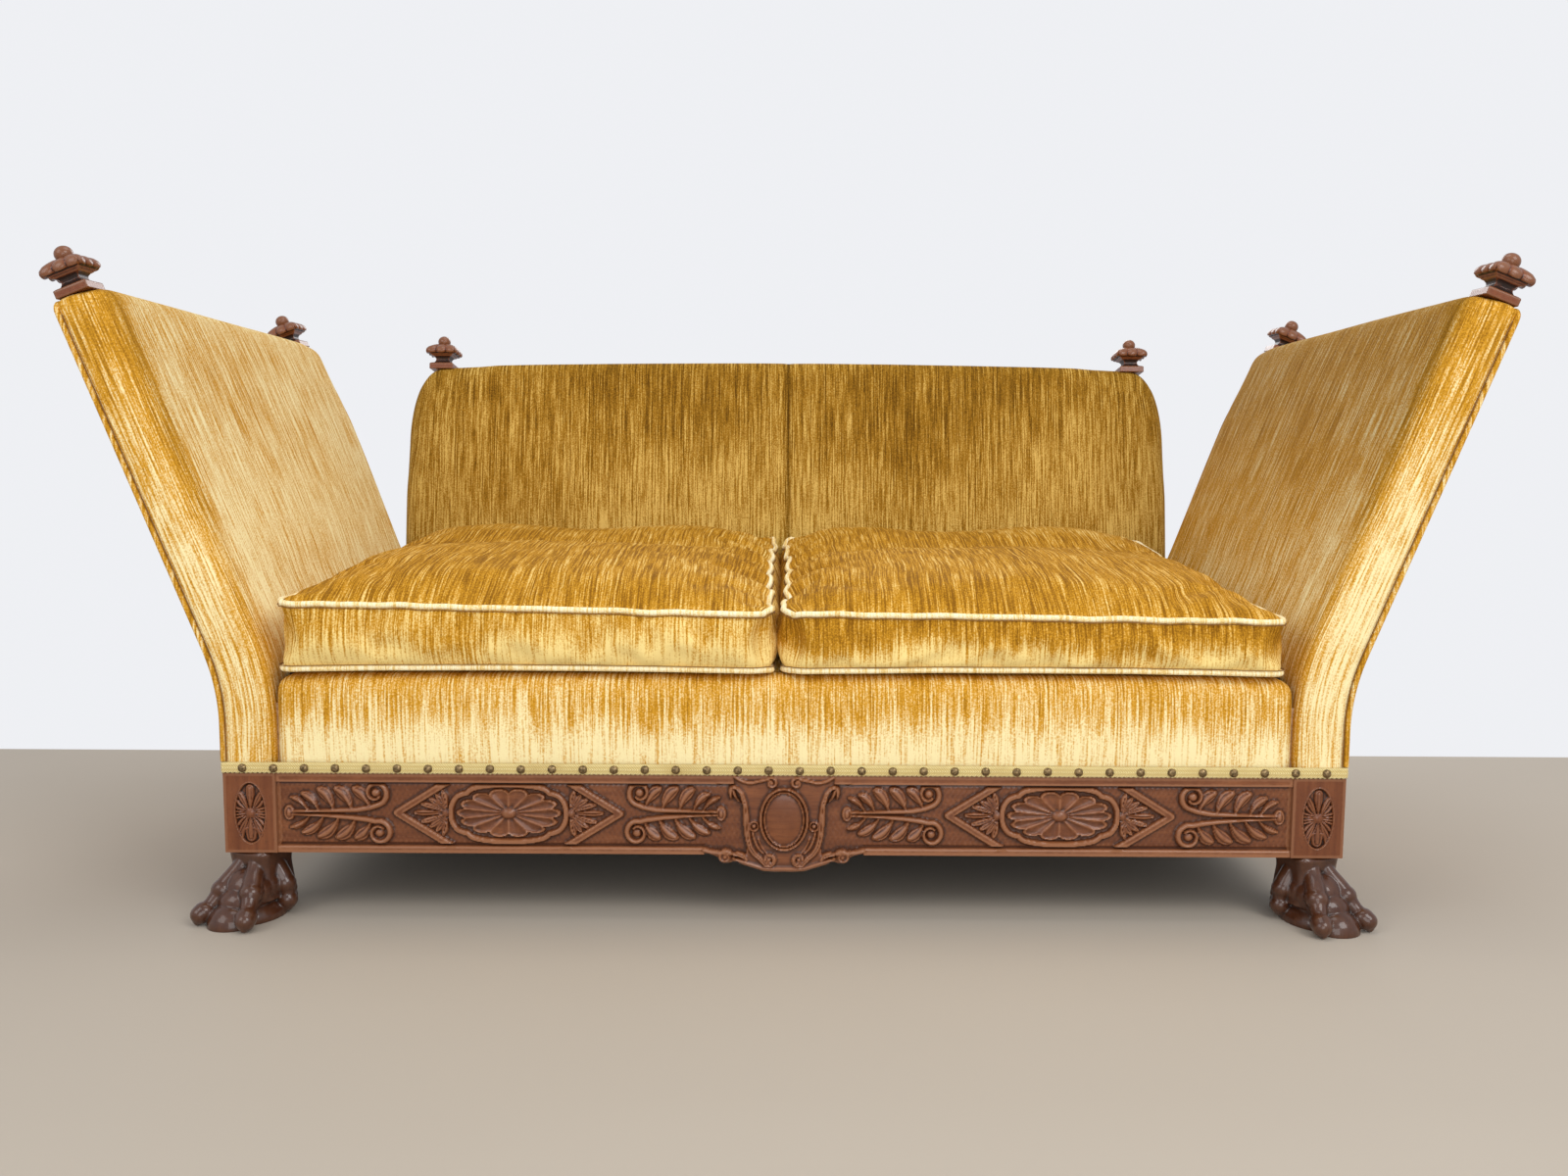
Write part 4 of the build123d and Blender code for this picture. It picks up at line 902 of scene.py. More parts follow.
    def seam_line(height_rule, out, up):
        """A closed line round the case at a seam, this far outside it and above it."""
        line = []
        for a0, b0, a1, b1 in ((-1, -1, 1, -1), (1, -1, 1, 1), (1, 1, -1, 1), (-1, 1, -1, -1)):
            for step in range(96):
                t = step / 96
                t = 0.5 - 0.5 * cos(pi * t) if 0 < t < 1 else t
                a, b = a0 + (a1 - a0) * t, b0 + (b1 - b0) * t
                x, y = outline(a, b)
                near = 1 - min(t, 1 - t) / 0.02
                if near > 0 and a * outer > 0 and b < 0:
                    x, y = x - copysign(0.0035 * near, a), y - copysign(0.0035 * near, b)
                away = Vector((a if b0 != b1 else 0.0, b if a0 != a1 else 0.0))
                line.append((x + out * away.x, front + y + out * away.y, height_rule(a, b) + up))
        return line

    cords = [seam_line(lower_seam, 0.0, 0.0), seam_line(seam_height, 0.0, 0.0)]
    # Thin dark cords just outside both seams, under the top piping and over the lower one: painted shadow
    # lines.
    threads_and_seam_shadows = [seam_line(lower_seam, 0.0040, 0.0044), seam_line(seam_height, 0.0040, -0.0044)]
    return shape, nap, cords, threads_and_seam_shadows


cloth_run = dict(
    quality=6,
    vertex_group_mass="seams",
    tension_stiffness=18,
    compression_stiffness=18,
    shear_stiffness=6,
    bending_stiffness=0.4,
    shrink_min=-0.035,
    use_pressure=True,
    uniform_pressure_force=3.0,
)


def settle(case, held, frames=18, most=0.013):
    """Lets the filled case swell and crease between its held seams; no place moves further than this."""
    before = [vertex.co.copy() for vertex in case.data.vertices]
    case.vertex_groups.new(name="seams").add(held, 1.0, "REPLACE")
    fill = case.modifiers.new("fill", "CLOTH")
    for name, value in cloth_run.items():
        setattr(fill.settings, name, value)
    fill.settings.effector_weights.gravity = 0
    for number in range(1, frames + 1):
        bpy.context.scene.frame_set(number)
    select_only(case)
    bpy.ops.object.modifier_apply(modifier="fill")
    bpy.context.scene.frame_set(1)
    for vertex, start in zip(case.data.vertices, before):
        step = vertex.co - start
        if step.length > most:
            vertex.co = start + step * (most / step.length)
        vertex.co.x = max(-arm_clear, min(arm_clear, vertex.co.x))
        vertex.co.z = max(vertex.co.z, cushion_floor)


for hand, facts in cushions.items():
    (x_low, x_high), seed = facts["x"], facts["seed"]
    shape, nap, cord_lines, seam_shadow_lines = cushion_rule(x_low, x_high, facts["seam"], seed)
    low, high = (x_low, cushion_depth_low, 0.0), (x_high, cushion_depth_high, case_height)
    case = gridded_block(f"{hand}_cushion_case", low, high, 0.0105)
    held = []
    for vertex in case.data.vertices:
        x, y, z = vertex.co
        rim = min(x - x_low, x_high - x, y - cushion_depth_low, cushion_depth_high - y) < 1e-5
        if z < 1e-5 or (rim and z > case_height - 1e-5):
            held.append(vertex.index)
    cover_block(case, front_cloth, shape, nap)
    settle(case, held)
    worked(case, "SUBSURF", levels=1)
    finished(case, cushion_velvet, facts["body"], "gold_velvet", f"{hand}_cushion")
    for name, lines, radius, finish in (
        ("cords", cord_lines, cushion_cord_radius, pale_piping),
        ("stitches", seam_shadow_lines, seam_shadow_radius, seam_shadow_cord),
    ):
        parts = [round_bar(f"{name}_{n}", line, radius, closed=True) for n, line in enumerate(lines)]
        rounds = joined(f"{hand}_cushion_{name}", parts)
        finished(rounds, finish, facts["body"], "velvet_piping", f"{hand}_cushion_piping")

# Front rail: a walnut board carved in low relief between two plain fillets. Each half holds two leaf
# sprays and a lozenge with an oval flower; a cartouche with a plain oval hangs below the middle.
board_face = front + 0.002
board_top, board_thickness = 196.0, 0.034
ground_cut = 6.0
fillet_top, fillet_foot = 183.0, 99.5
half_rail = 664.0
walnut_dark = (0.020, 0.0065, 0.0034, 1)
walnut_mid = (0.120, 0.036, 0.0125, 1)
walnut_light = (0.27, 0.094, 0.032, 1)
walnut_worn = (0.36, 0.155, 0.072, 1)

walnut, given, result = new_group("oiled_walnut", "Grain Object", "", "Hollow Redness Age")
figure = streaks(walnut, given["Grain"], 9.0, 120.0, 4.0)
pores = streaks(walnut, given["Grain"], 70.0, 1500.0, 2.0)
stain = clouded(walnut, given["Object"], 16.0, 5.0, Roughness=0.6)
grime = clouded(walnut, given["Object"], 160.0, 3.0, Roughness=0.6)
tone = blended(walnut, walnut_mid, walnut_light, ramped(walnut, figure, 0.34, 0.70))
tone = blended(walnut, tone, walnut_mid, ramped(walnut, stain, 0.38, 0.72, 0.75, 0.0))
reddened = blended(walnut, (0.0, 0.0, 0.0, 1), (0.15, 0.032, 0.006, 1), given["Redness"])
lifted = add_node(walnut, "ShaderNodeMix", data_type="RGBA", blend_type="ADD")
for value, number in ((1.0, 0), (tone, 6), (reddened, 7)):
    feed(walnut, value, lifted.inputs[number])
pore_share = calculated(walnut, "MULTIPLY", ramped(walnut, pores, 0.62, 0.74), 0.55)
tone = blended(walnut, lifted.outputs[2], walnut_dark, pore_share)
uneven = calculated(walnut, "ADD", given["Hollow"], ramped(walnut, grime, 0.3, 0.7, -0.09, 0.09))
# Darker in the hollows: partly old wax and grime, partly painted shade in the recesses.
deep = calculated(walnut, "MULTIPLY", ramped(walnut, uneven, 0.53, 0.80), given["Age"])
wear_and_sheen = calculated(walnut, "MULTIPLY", ramped(walnut, uneven, 0.44, 0.14), 0.62)
tone = blended(walnut, blended(walnut, tone, walnut_worn, wear_and_sheen), walnut_dark, deep)
gloss = ramped(walnut, stain, 0.3, 0.7, 0.26, 0.42)
gloss = calculated(walnut, "ADD", gloss, calculated(walnut, "MULTIPLY", deep, 0.30))
height = calculated(walnut, "ADD", pores, calculated(walnut, "MULTIPLY", grime, 0.6))
for value, socket in zip((tone, gloss, height), result):
    walnut.links.new(value, socket)


def wood_material(name, grain_turn, redness, age, painted=True, wax=0.3, darker=0.0):
    """Waxed walnut; the grain runs along X after this turn, and hollows are darker, partly old wax and
    grime and partly painted shade, edges worn.
    """
    material, tree, surface = blank_material(name)
    surface.inputs["Coat Weight"].default_value = wax
    surface.inputs["Coat Roughness"].default_value = 0.10
    surface.inputs["Specular IOR Level"].default_value = 0.3
    group = add_node(tree, "ShaderNodeGroup", node_tree=walnut, Redness=redness, Age=age, Hollow=0.5)
    turned = add_node(tree, "ShaderNodeMapping", Rotation=grain_turn)
    where = object_place(tree)
    tree.links.new(where, turned.inputs["Vector"])
    tree.links.new(turned.outputs["Vector"], group.inputs["Grain"])
    tree.links.new(where, group.inputs["Object"])
    if painted:
        hollow = add_node(tree, "ShaderNodeAttribute", attribute_name="hollow")
        tree.links.new(hollow.outputs["Fac"], group.inputs["Hollow"])
    tone = blended(tree, group.outputs["Color"], walnut_dark, darker)
    dressed(tree, surface, tone, *group.outputs[1:], 0.22, 0.0006)
    return material


quarter = pi / 2
rail_wood = wood_material("rail_wood", (0, 0, 0), 0.12, 0.62)
upright_wood = wood_material("upright_wood", (0, quarter, 0), 0.40, 0.9, darker=0.24)
foot_wood = wood_material("foot_wood", (0, quarter, 0), 0.14, 0.95, wax=0.6, darker=0.68)
finial_wood_finish = wood_material("finial_wood", (0, quarter, 0), 1.0, 1.0, wax=0.35, darker=0.40)


def paint_hollows(piece, rounds, depth):
    """Marks how far each place lies below (towards 1) or above (towards 0) the smoothed surface."""
    mesh = piece.data
    count = len(mesh.vertices)
    places, normals = np.empty(count * 3), np.empty(count * 3)
    mesh.vertices.foreach_get("co", places)
    mesh.vertices.foreach_get("normal", normals)
    places, normals = places.reshape(-1, 3), normals.reshape(-1, 3)
    pairs = np.empty(len(mesh.edges) * 2, dtype=np.int32)
    mesh.edges.foreach_get("vertices", pairs)
    one, two = pairs.reshape(-1, 2).T
    spread = np.bincount(pairs, minlength=count).reshape(-1, 1)
    smoothed = places.copy()
    for _ in range(rounds):
        around = np.empty_like(smoothed)
        for axis in range(3):
            around[:, axis] = np.bincount(one, smoothed[two, axis], count) + np.bincount(
                two, smoothed[one, axis], count
            )
        smoothed = 0.4 * smoothed + 0.6 * around / spread
    hollow = ((smoothed - places) * normals).sum(axis=1) / depth
    layer = mesh.attributes.new("hollow", "FLOAT", "POINT")
    layer.data.foreach_set("value", np.clip(0.5 + 0.5 * hollow, 0, 1).astype(np.float32))


def bent(start, handle, end, count=9):
    """Places along a simple curve from start to end, drawn toward the handle."""
    line = []
    for step in range(count):
        t = step / (count - 1)
        line.append(
            tuple((1 - t) ** 2 * a + 2 * t * (1 - t) * b + t * t * c for a, b, c in zip(start, handle, end))
        )
    return line


def spiral(centre, first, last, angle, turn, count=26):
    """Places along a curl round a centre, from the first radius to the last; angles in degrees."""
    line = []
    for step in range(count):
        t = step / (count - 1)
        radius = first + (last - first) * t
        at = radians(angle + turn * t)
        line.append((centre[0] + radius * cos(at), centre[1] + radius * sin(at)))
    return line


def stroke(relief, x, z, line, widths, foot, rise, flute=0.0, flute_at=0.45, flat=None):
    """Raises the relief along a line whose half-width changes along it; flat strokes have cut edges."""
    reach = max(widths)
    along = np.array(line)
    low, high = along.min(axis=0) - reach, along.max(axis=0) + reach
    near = (x > low[0]) & (x < high[0]) & (z > low[1]) & (z < high[1])
    if not near.any():
        return
    px, pz = x[near], z[near]
    runs = np.hypot(*np.diff(along, axis=0).T)
    total, passed = runs.sum(), 0.0
    stops = np.linspace(0, 1, len(widths))
    inside = np.full(px.shape, -9.0)
    for (ax, az), (bx, bz), run in zip(along[:-1], along[1:], runs):
        t = np.clip(((px - ax) * (bx - ax) + (pz - az) * (bz - az)) / max(run * run, 1e-9), 0, 1)
        away = np.hypot(px - ax - t * (bx - ax), pz - az - t * (bz - az))
        width = np.interp((passed + t * run) / total, stops, widths)
        inside = np.maximum(inside, 1 - away / width)
        passed += run
    depth = np.clip(inside, 0, 1)
    if flat:
        form = np.clip(depth * reach / flat, 0, 1)
    else:
        form = np.sqrt(np.clip(1 - (1 - depth) ** 2, 0, 1))
    form = form - flute * np.exp(-(((1 - depth - flute_at) / 0.15) ** 2))
    relief[near] = np.where(inside > 0, np.maximum(relief[near], foot + rise * form), relief[near])


def ring_line(centre, half_x, half_z, power=2.0, dent=0.0, count=72):
    """A closed oval, squarer for higher powers, with small inward points on its diagonals."""
    line = []
    for step in range(count + 1):
        at = 2 * pi * step / count
        c, s = cos(at), sin(at)
        radius = 1 / (abs(c) ** power + abs(s) ** power) ** (1 / power)
        for corner in (0.25, 0.75, 1.25, 1.75):
            radius *= 1 - dent * exp(-(((at - corner * pi) / 0.09) ** 2))
        line.append((centre[0] + half_x * radius * c, centre[1] + half_z * radius * s))
    return line


def mound(relief, x, z, centre, half_x, half_z, foot, rise):
    """Raises a round-topped boss."""
    q = np.hypot((x - centre[0]) / half_x, (z - centre[1]) / half_z)
    form = foot + rise * np.sqrt(np.clip(1 - q * q, 0, 1))
    np.maximum(relief, np.where(q < 1, form, -99.0), out=relief)


def carver(*at):
    """The two ways to raise a relief, given with its places: along a line, and as a boss."""
    return lambda *form, **cut: stroke(*at, *form, **cut), lambda *form: mound(*at, *form)


def spray(relief, x, z, knob_x, middle, sense, share):
    """A leaf spray: a knob, a double stem with lobes above and below it, and a curl at each fork."""
    u, v = (x - knob_x) * sense / share, z - middle
    carve, dome = carver(relief, u, v)
    foot, rise = -ground_cut, 6.2
    curls = (((113.6, 26.6), 16.2, -80, 1), ((117.5, -26.6), 15.6, 80, -1))
    stems = (
        [(5, 2.0), (50, 2.8), (90, 4.2), (108, 7.6)],
        [(5, -2.2), (45, -3.6), (80, -6.2), (102, -9.0), (113, -11.4)],
    )
    for (centre, radius, angle, turn), stem in zip(curls, stems):
        line = stem + spiral(centre, radius, 7.5, angle, turn * 390)
        carve(line, (1.8, 2.2, 3.4, 4.2, 4.2, 3.0, 2.0), foot, rise)
        dome(centre, 6.2, 6.0, foot, rise - 1.2)
    for head, tail, width in (
        ((3.5, 20.5), (24, 4.6), 4.4),
        ((19.0, 24.6), (38, 4.8), 6.2),
        ((41.0, 30.0), (58, 5.2), 8.0),
        ((63.5, 31.0), (82, 5.6), 8.2),
        ((87.0, 31.0), (105, 9.6), 8.0),
        ((3.0, -19.2), (26, -5.0), 4.6),
        ((19.0, -25.6), (44, -6.0), 6.6),
        ((40.0, -30.4), (64, -7.4), 8.0),
        ((64.5, -31.4), (86, -9.4), 8.2),
        ((88.5, -31.8), (106, -13.6), 8.0),
    ):
        handle = (head[0] + 0.62 * (tail[0] - head[0]), head[1] - 0.16 * (head[1] - tail[1]))
        shape = (0.55 * width, 0.92 * width, width, 0.86 * width, 0.62 * width, 0.40 * width, 1.6)
        reach = (head[0] - 0.1 * width, head[1] + copysign(0.1 * width, head[1]))
        carve(bent(reach, handle, tail), shape, foot, rise, flute=0.34, flute_at=0.52)
    carve(ring_line((0, 0), 5.2, 8.4, count=20), (2.2, 2.2), foot, rise - 1.6)
    dome((0, 0), 4.6, 7.4, foot, rise)


def flower(relief, x, z, middle_x, middle):
    """A lozenge of flat bands with an oval ring, a flower of hollowed petals and two leaf fans."""
    u, v = x - middle_x, z - middle
    carve, dome = carver(relief, u, v)
    for side in (-1, 1):
        for up in (-1, 1):
            line = [(side * 146, 0), (side * 71, up * 47)]
            carve(line, (5.4, 5.4), -ground_cut, ground_cut, flat=1.3)
        boss = (side * 79, 0)
        for number in range(-4, 5):
            angle = number * radians(19)
            length = min(43, 33.0 / (sin(abs(angle)) + 0.62 * cos(angle)))
            start = (boss[0] + side * 7 * cos(angle), 7 * sin(angle))
            end = (boss[0] + side * length * cos(angle), length * sin(angle))
            swing = (
                (start[0] + end[0]) / 2,
                (start[1] + end[1]) / 2 + copysign(2.0, angle) * (number != 0),
            )
            widths = (1.2, 2.6, 4.2, 4.6, 2.6)
            carve(bent(start, swing, end, 6), widths, -ground_cut, 4.6, flute=0.45, flute_at=0.0)
        dome((side * 81, 0), 7.5, 6.5, -ground_cut, 5.5)
    line = ring_line((0, 0), 75.5, 38.0, 2.5, 0.06)
    inside = (np.abs(u / 73) ** 2.5 + np.abs(v / 36) ** 2.5) < 1
    relief[inside] = -ground_cut
    q = np.hypot(u / 69.0, v / 33.0)
    turn = np.arctan2(v / 33.0, u / 69.0) * 14 / (2 * pi) + 0.5
    part = turn - np.floor(turn)
    edge = np.abs(2 * part - 1)
    rim = 1.0 - 0.16 * edge**2.4
    petal = -5.6 + 4.6 * (0.42 + 0.58 * edge**2.2) * np.clip(q / 0.35, 0.35, 1) ** 0.5
    petal += 1.8 * np.exp(-(((q - rim + 0.045) / 0.035) ** 2))
    petal -= 1.5 * np.exp(-((edge - 1) / 0.05) ** 2) * 0.4
    relief[:] = np.where(inside & (q < rim), np.maximum(relief, petal), relief)
    carve(line, (4.3, 4.3), -ground_cut, ground_cut + 0.6, flat=1.6)
    dome((0, 0), 13.5, 10.5, -ground_cut, 4.2)
    dome((0, 0), 10.6, 8.0, -ground_cut, 7.4)


def cartouche(relief, x, z):
    """The hanging shield: a plain oval in a double ring, strapwork, curls and a rolled lower edge."""
    plate = np.interp(z, (60, 80, 92, 100, 129, 158, 172, 180, 197), (60, 60, 50, 48, 51, 52, 57, 65, 66))
    on_plate = x < plate
    relief[on_plate] = np.maximum(relief[on_plate], -1.5 + 1.2 * np.clip((plate - x)[on_plate] / 5, 0, 1))
    carve, dome = carver(relief, x, z)
    lift = -0.6
    carve(
        bent((65, 195), (54, 185.5), (41, 186.5), 7) + [(34, 188.4), (27, 189.6)]
        + spiral((16.4, 186.0), 7.4, 3.2, 40, 400, 22),
        (2.4, 2.4, 2.2, 2.0, 1.8), lift, 4.0,
    )
    dome((16.4, 186.0), 3.0, 3.0, lift, 4.2)
    carve(
        [(65, 180), (60.5, 178.5), (55.5, 172.2), (51, 158), (49.5, 143), (49, 129), (47.3, 112),
         (44, 100), (38.5, 91.5), (31, 85), (24.5, 77.5)] + spiral((19.6, 83.8), 8.4, 3.6, -60, -400, 24),
        (2.6, 3.6, 4.2, 4.2, 4.0, 3.6, 2.8, 2.0), lift, 4.6, flute=0.42, flute_at=0.0,
    )
    dome((19.6, 83.8), 3.4, 3.4, lift, 4.6)
    carve(bent((64, 181), (73, 178), (69, 164), 7), (3.4, 3.8, 2.6, 1.2), -ground_cut, 6.6)
    carve(bent((66, 176), (66, 168), (58, 160), 7), (1.6, 2.6, 1.6, 1.0), -ground_cut, 6.6)
    carve(bent((41, 120), (37.5, 100), (27, 92), 8), (1.6, 1.8, 1.6), lift, 3.0)
    carve(bent((33.5, 112), (30, 99), (21, 91), 8), (1.2, 1.4, 1.2), lift, 2.4)
    carve(ring_line((39.3, 128.3), 5.8, 6.0, count=24), (1.5, 1.5), lift, 3.6)
    dome((39.3, 128.3), 2.8, 2.8, lift, 3.8)
    inside = np.hypot(x / 31.0, (z - 137.8) / 41.0) < 1
    relief[inside] = 1.2
    dish = np.hypot(x / 24.5, (z - 137.8) / 34.8)
    plain = 0.8 + 4.4 * np.sqrt(np.clip(1 - (0.93 * dish) ** 2, 0, 1))
    relief[:] = np.where(dish < 1, plain, relief)
    for half_x, half_z, width in ((30.6, 40.6, 2.1), (25.6, 35.9, 1.5)):
        carve(ring_line((0, 137.8), half_x, half_z, count=60), (width, width), lift, 6.2)
    scroll = spiral((77, 87), 9.0, 3.4, 150, -430, 30)
    carve([(104, 95.5), (94, 93), (87, 92.5)] + scroll, (3.6, 3.4, 2.8, 2.4, 2.0), -4.0, 7.4)
    dome((77, 87), 9.6, 9.6, -5.0, 7.0)
    dome((77, 87), 3.2, 3.2, -1.0, 4.6)
    edge = [(66, 84), (58, 81.5), (45, 77.5), (27.5, 71.8), (13, 70.9), (0, 70.8)]
    carve(edge, (2.2, 2.6, 2.8, 2.8), -3.0, 5.4)
    leaf = bent((66, 90), (55, 92), (49, 83), 7)
    carve(leaf, (2.6, 4.0, 2.4), -2.0, 4.4, flute=0.4, flute_at=0.0)


def rail_relief(x, z):
    """The whole carving's height in millimetres over the board's face."""
    x = np.abs(x)
    relief = np.full(x.shape, -ground_cut)
    relief += 0.25 * np.sin(x * 0.9 + 0.7 * np.sin(z * 0.31)) * np.sin(z * 0.5)
    spray(relief, x, z, 648.7, 142.4, -1, 1.0)
    spray(relief, x, z, 82.5, 144.2, 1, 0.94)
    flower(relief, x, z, 361, 143)
    for edge, sign in ((fillet_top, 1), (fillet_foot, -1)):
        lip = (z - edge) * sign
        band = np.clip(lip / 1.2, 0, 1)
        stop = (x > 66) if sign > 0 else (x > 104)
        relief[:] = np.where(stop & (lip > 0), np.maximum(relief, -ground_cut + ground_cut * band), relief)
        groove = stop & (np.abs(lip + 0.9) < 1.1)
        relief[groove] = np.minimum(relief[groove], -ground_cut - 0.8)
    cartouche(relief, x, z)
    return relief


def carved_board(name, x_low, x_high, foot_line, top, rear, columns, rows, rule, material_face):
    """A board with a carved face: a fine grid raised by a rule, with plain sides and back."""
    grid = bpy.ops.mesh.primitive_grid_add
    board = added(name, grid, x_subdivisions=columns, y_subdivisions=rows, size=1)
    mesh = board.data
    count = len(mesh.vertices)
    flat = np.empty(count * 3)
    mesh.vertices.foreach_get("co", flat)
    flat = flat.reshape(-1, 3)
    x = x_low + (x_high - x_low) * (flat[:, 0] + 0.5)
    foot = foot_line(x)
    z = foot + (top - foot) * (flat[:, 1] + 0.5)
    height = rule(x, z)
    placed = np.stack([x / 1000, material_face - height / 1000, z / 1000], axis=1)
    mesh.vertices.foreach_set("co", placed.ravel())
    mesh.update()
    bpy.context.tool_settings.mesh_select_mode = (True, False, False)
    bpy.ops.object.mode_set(mode="EDIT")
    bpy.ops.mesh.select_all(action="SELECT")
    bpy.ops.mesh.region_to_loop()
    bpy.ops.mesh.extrude_region()
    bpy.ops.object.mode_set(mode="OBJECT")
    for vertex in mesh.vertices:
        if vertex.select:
            vertex.co.y = rear
    bpy.ops.object.mode_set(mode="EDIT")
    bpy.ops.mesh.edge_face_add()
    bpy.ops.mesh.select_all(action="SELECT")
    bpy.ops.mesh.normals_make_consistent(inside=False)
    bpy.ops.object.mode_set(mode="OBJECT")
    bpy.ops.object.shade_smooth_by_angle(angle=radians(50))
    paint_hollows(board, 8, 0.0011)
    return board


def rail_foot(x):
    """The lower edge: straight, dipping to the scrolls and the hanging middle."""
    stops = (0, 13, 27.5, 45, 61, 66, 69, 73, 77, 81, 85, 87, 92, 98, 104)
    levels = (67.3, 67.3, 68.2, 74, 79, 79.5, 78.2, 77, 76.6, 77.2, 80, 85, 87.2, 89, 90)
    return np.interp(np.abs(x), stops, levels)


rail = carved_board(
    "carved_front_rail",
    -half_rail,
    half_rail,
    rail_foot,
    board_top,
    front + board_thickness,
    900,
    74,
    rail_relief,
    board_face,
)
finished(rail, rail_wood, "base", "carved_walnut", "front_rail")

# Corner blocks: walnut posts that the rails are tenoned into. The front pair has an upright oval
# rosette cut in the face; the rear pair is plain.
block_side = 68.0
block_middle = 698.0
oval_cut = 3.6
block_foot = 90.0


def block_relief(x, z):
    """An upright rosette: long petals up and down, leaves on the diagonals, ribs at the sides."""
    x, z = np.abs(x - copysign(block_middle, x[0])), z - 142.5
    relief = np.zeros(x.shape)
    oval = np.hypot(x / 21.5, z / 42.5)
    relief -= oval_cut * np.clip((1 - oval) / 0.06, 0, 1)
    carve, dome = carver(relief, x, z)
    carve(ring_line((0, 0), 20.2, 41.2, count=60), (1.5, 1.5), -oval_cut, 4.2)
    carve([(0, 6), (0, 20), (0, 33)], (1.5, 3.4, 5.6, 5.4), -oval_cut, 4.4, flute=0.3)
    carve([(0, -6), (0, -22), (0, -32)], (2, 3.6, 7.2, 8.2, 6.6), -oval_cut, 4.6, flute=0.35)
    carve(bent((3, -20), (12, -20), (11, -33), 7), (1.2, 2.4, 2.6, 1), -oval_cut, 3.8)
    for up in (-1, 1):
        leaf = bent((3.5, up * 5), (8, up * 15), (13.5, up * 25), 7)
        carve(leaf, (1.2, 3.2, 4.4, 3.8), -oval_cut, 4.0, flute=0.4, flute_at=0.0)
        twig = bent((4, up * 4), (12, up * 8), (16, up * 15), 7)
        carve(twig, (1.0, 2.0, 2.6), -oval_cut, 3.4)
    for level in (-6.4, -2.2, 2.2, 6.4):
        carve([(6, level * 0.5), (17.5, level)], (0.9, 1.8, 1.7), -oval_cut, 3.6)
    dome((0, 0), 7.0, 7.6, -oval_cut, 5.2)
    return relief


for side, hand in sides:
    block = carved_board(
        f"{hand}_front_block",
        side * block_middle - block_side / 2,
        side * block_middle + block_side / 2,
        lambda x: np.full(x.shape, block_foot),
        board_top,
        front + block_side / 1000,
        66,
        104,
        block_relief,
        front,
    )
    finished(block, upright_wood, "base", "carved_walnut", "front_blocks")


def bevelled_box(name, low, high, bevel, material, body, slot, node):
    """A squared piece of timber with its edges eased."""
    timber = box_between(name, low, high)
    worked(timber, "BEVEL", width=bevel, segments=3)
    bpy.ops.object.shade_smooth_by_angle(angle=radians(40))
    return finished(timber, material, body, slot, node)


base_walnut = "base", "carved_walnut"
plain_rail_wood = wood_material("plain_rail_wood", (0, 0, 0), 0.12, 0.9, painted=False)
side_rail_wood = wood_material("side_rail_wood", (0, 0, quarter), 0.12, 0.9, painted=False)
plain_block_wood = wood_material("plain_block_wood", (0, quarter, 0), 0.2, 0.9, painted=False)
block_low, block_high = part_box("rear_blocks")
for side, hand in sides:
    node = f"{hand}_side_rail"
    bevelled_box(f"plain_{hand}_rail", *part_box(node), 0.0015, side_rail_wood, *base_walnut, node)
    inner = side * (block_middle - block_side / 2) / 1000
    outer = side * (block_middle + block_side / 2) / 1000
    low = (min(inner, outer), block_low.y, block_low.z)
    high = (max(inner, outer), block_high.y, block_high.z)
    bevelled_box(f"{hand}_rear_block", low, high, 0.002, plain_block_wood, *base_walnut, "rear_blocks")
bevelled_box("plain_rear_rail", *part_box("rear_rail"), 0.0015, plain_rail_wood, *base_walnut, "rear_rail")

# Feet: claw and ball, carved from one block each: four knuckled toes over a flattened ball, tendons
# running down from the square ankle. All four feet are turned outward by the same angle.
foot_turn = 20.0
foot_top, foot_cell, sole = 0.0898, 0.0014, 0.0003
toes = {
    26.0: (
        (18, 80, 11), (30, 64, 12.0), (44, 51, 13.0), (53, 41, 13.5),
        (62, 31, 10.6), (70, 23, 9.8), (78, 17, 12.6), (83, 14, 13.0),
    ),
    96.0: (
        (15, 78, 11), (23, 62, 12.5), (30, 50, 13.5), (34, 41, 13.0),
        (36, 32, 10.6), (37, 25, 10.0), (37, 19, 12.0), (36, 14, 11.0),
    ),
}


def ball_at(place, radius, squash=(1, 1, 1)):
    """A round lump, for joining to others."""
    ball = bpy.ops.mesh.primitive_uv_sphere_add
    lump = added("lump", ball, segments=32, ring_count=20, radius=radius, location=place)
    lump.scale = squash
    bpy.ops.object.transform_apply(location=True, rotation=True, scale=True)
    return lump


trunk = gridded_block("trunk", (-0.032, -0.032, 0.024), (0.032, 0.032, foot_top), 0.004)
trunk_box = (-0.032, -0.032, 0.0), (0.032, 0.032, foot_top)
for vertex in trunk.data.vertices:
    z = vertex.co.z
    waist = 1 - 0.07 * bell(z - 0.068, 0.014) + 0.10 * eased(0.050 - z, 0, 0.03)
    x, y = softened(vertex.co, *trunk_box, (0.013,) * 3, (0.013, 0.013, 0.001))[:2]
    vertex.co = (x * waist, y * waist, z)
lumps = [trunk]
for x, z, radius, squash in (
    (0.010, 0.040, 0.036, (1.05, 1.0, 0.85)),
    (0.026, 0.038, 0.030, (1.0, 1.15, 1.0)),
    (0.042, 0.026, 0.024, (1.1, 1.20, 0.9)),
    (0.060, 0.000, 0.0285, (1.0, 1.08, 1.0)),
    (0.018, 0.004, 0.042, (1.22, 0.96, 0.55)),
    (-0.026, 0.014, 0.022, (1.0, 1.35, 0.78)),
):
    lumps.append(ball_at((x, 0, z), radius, squash))
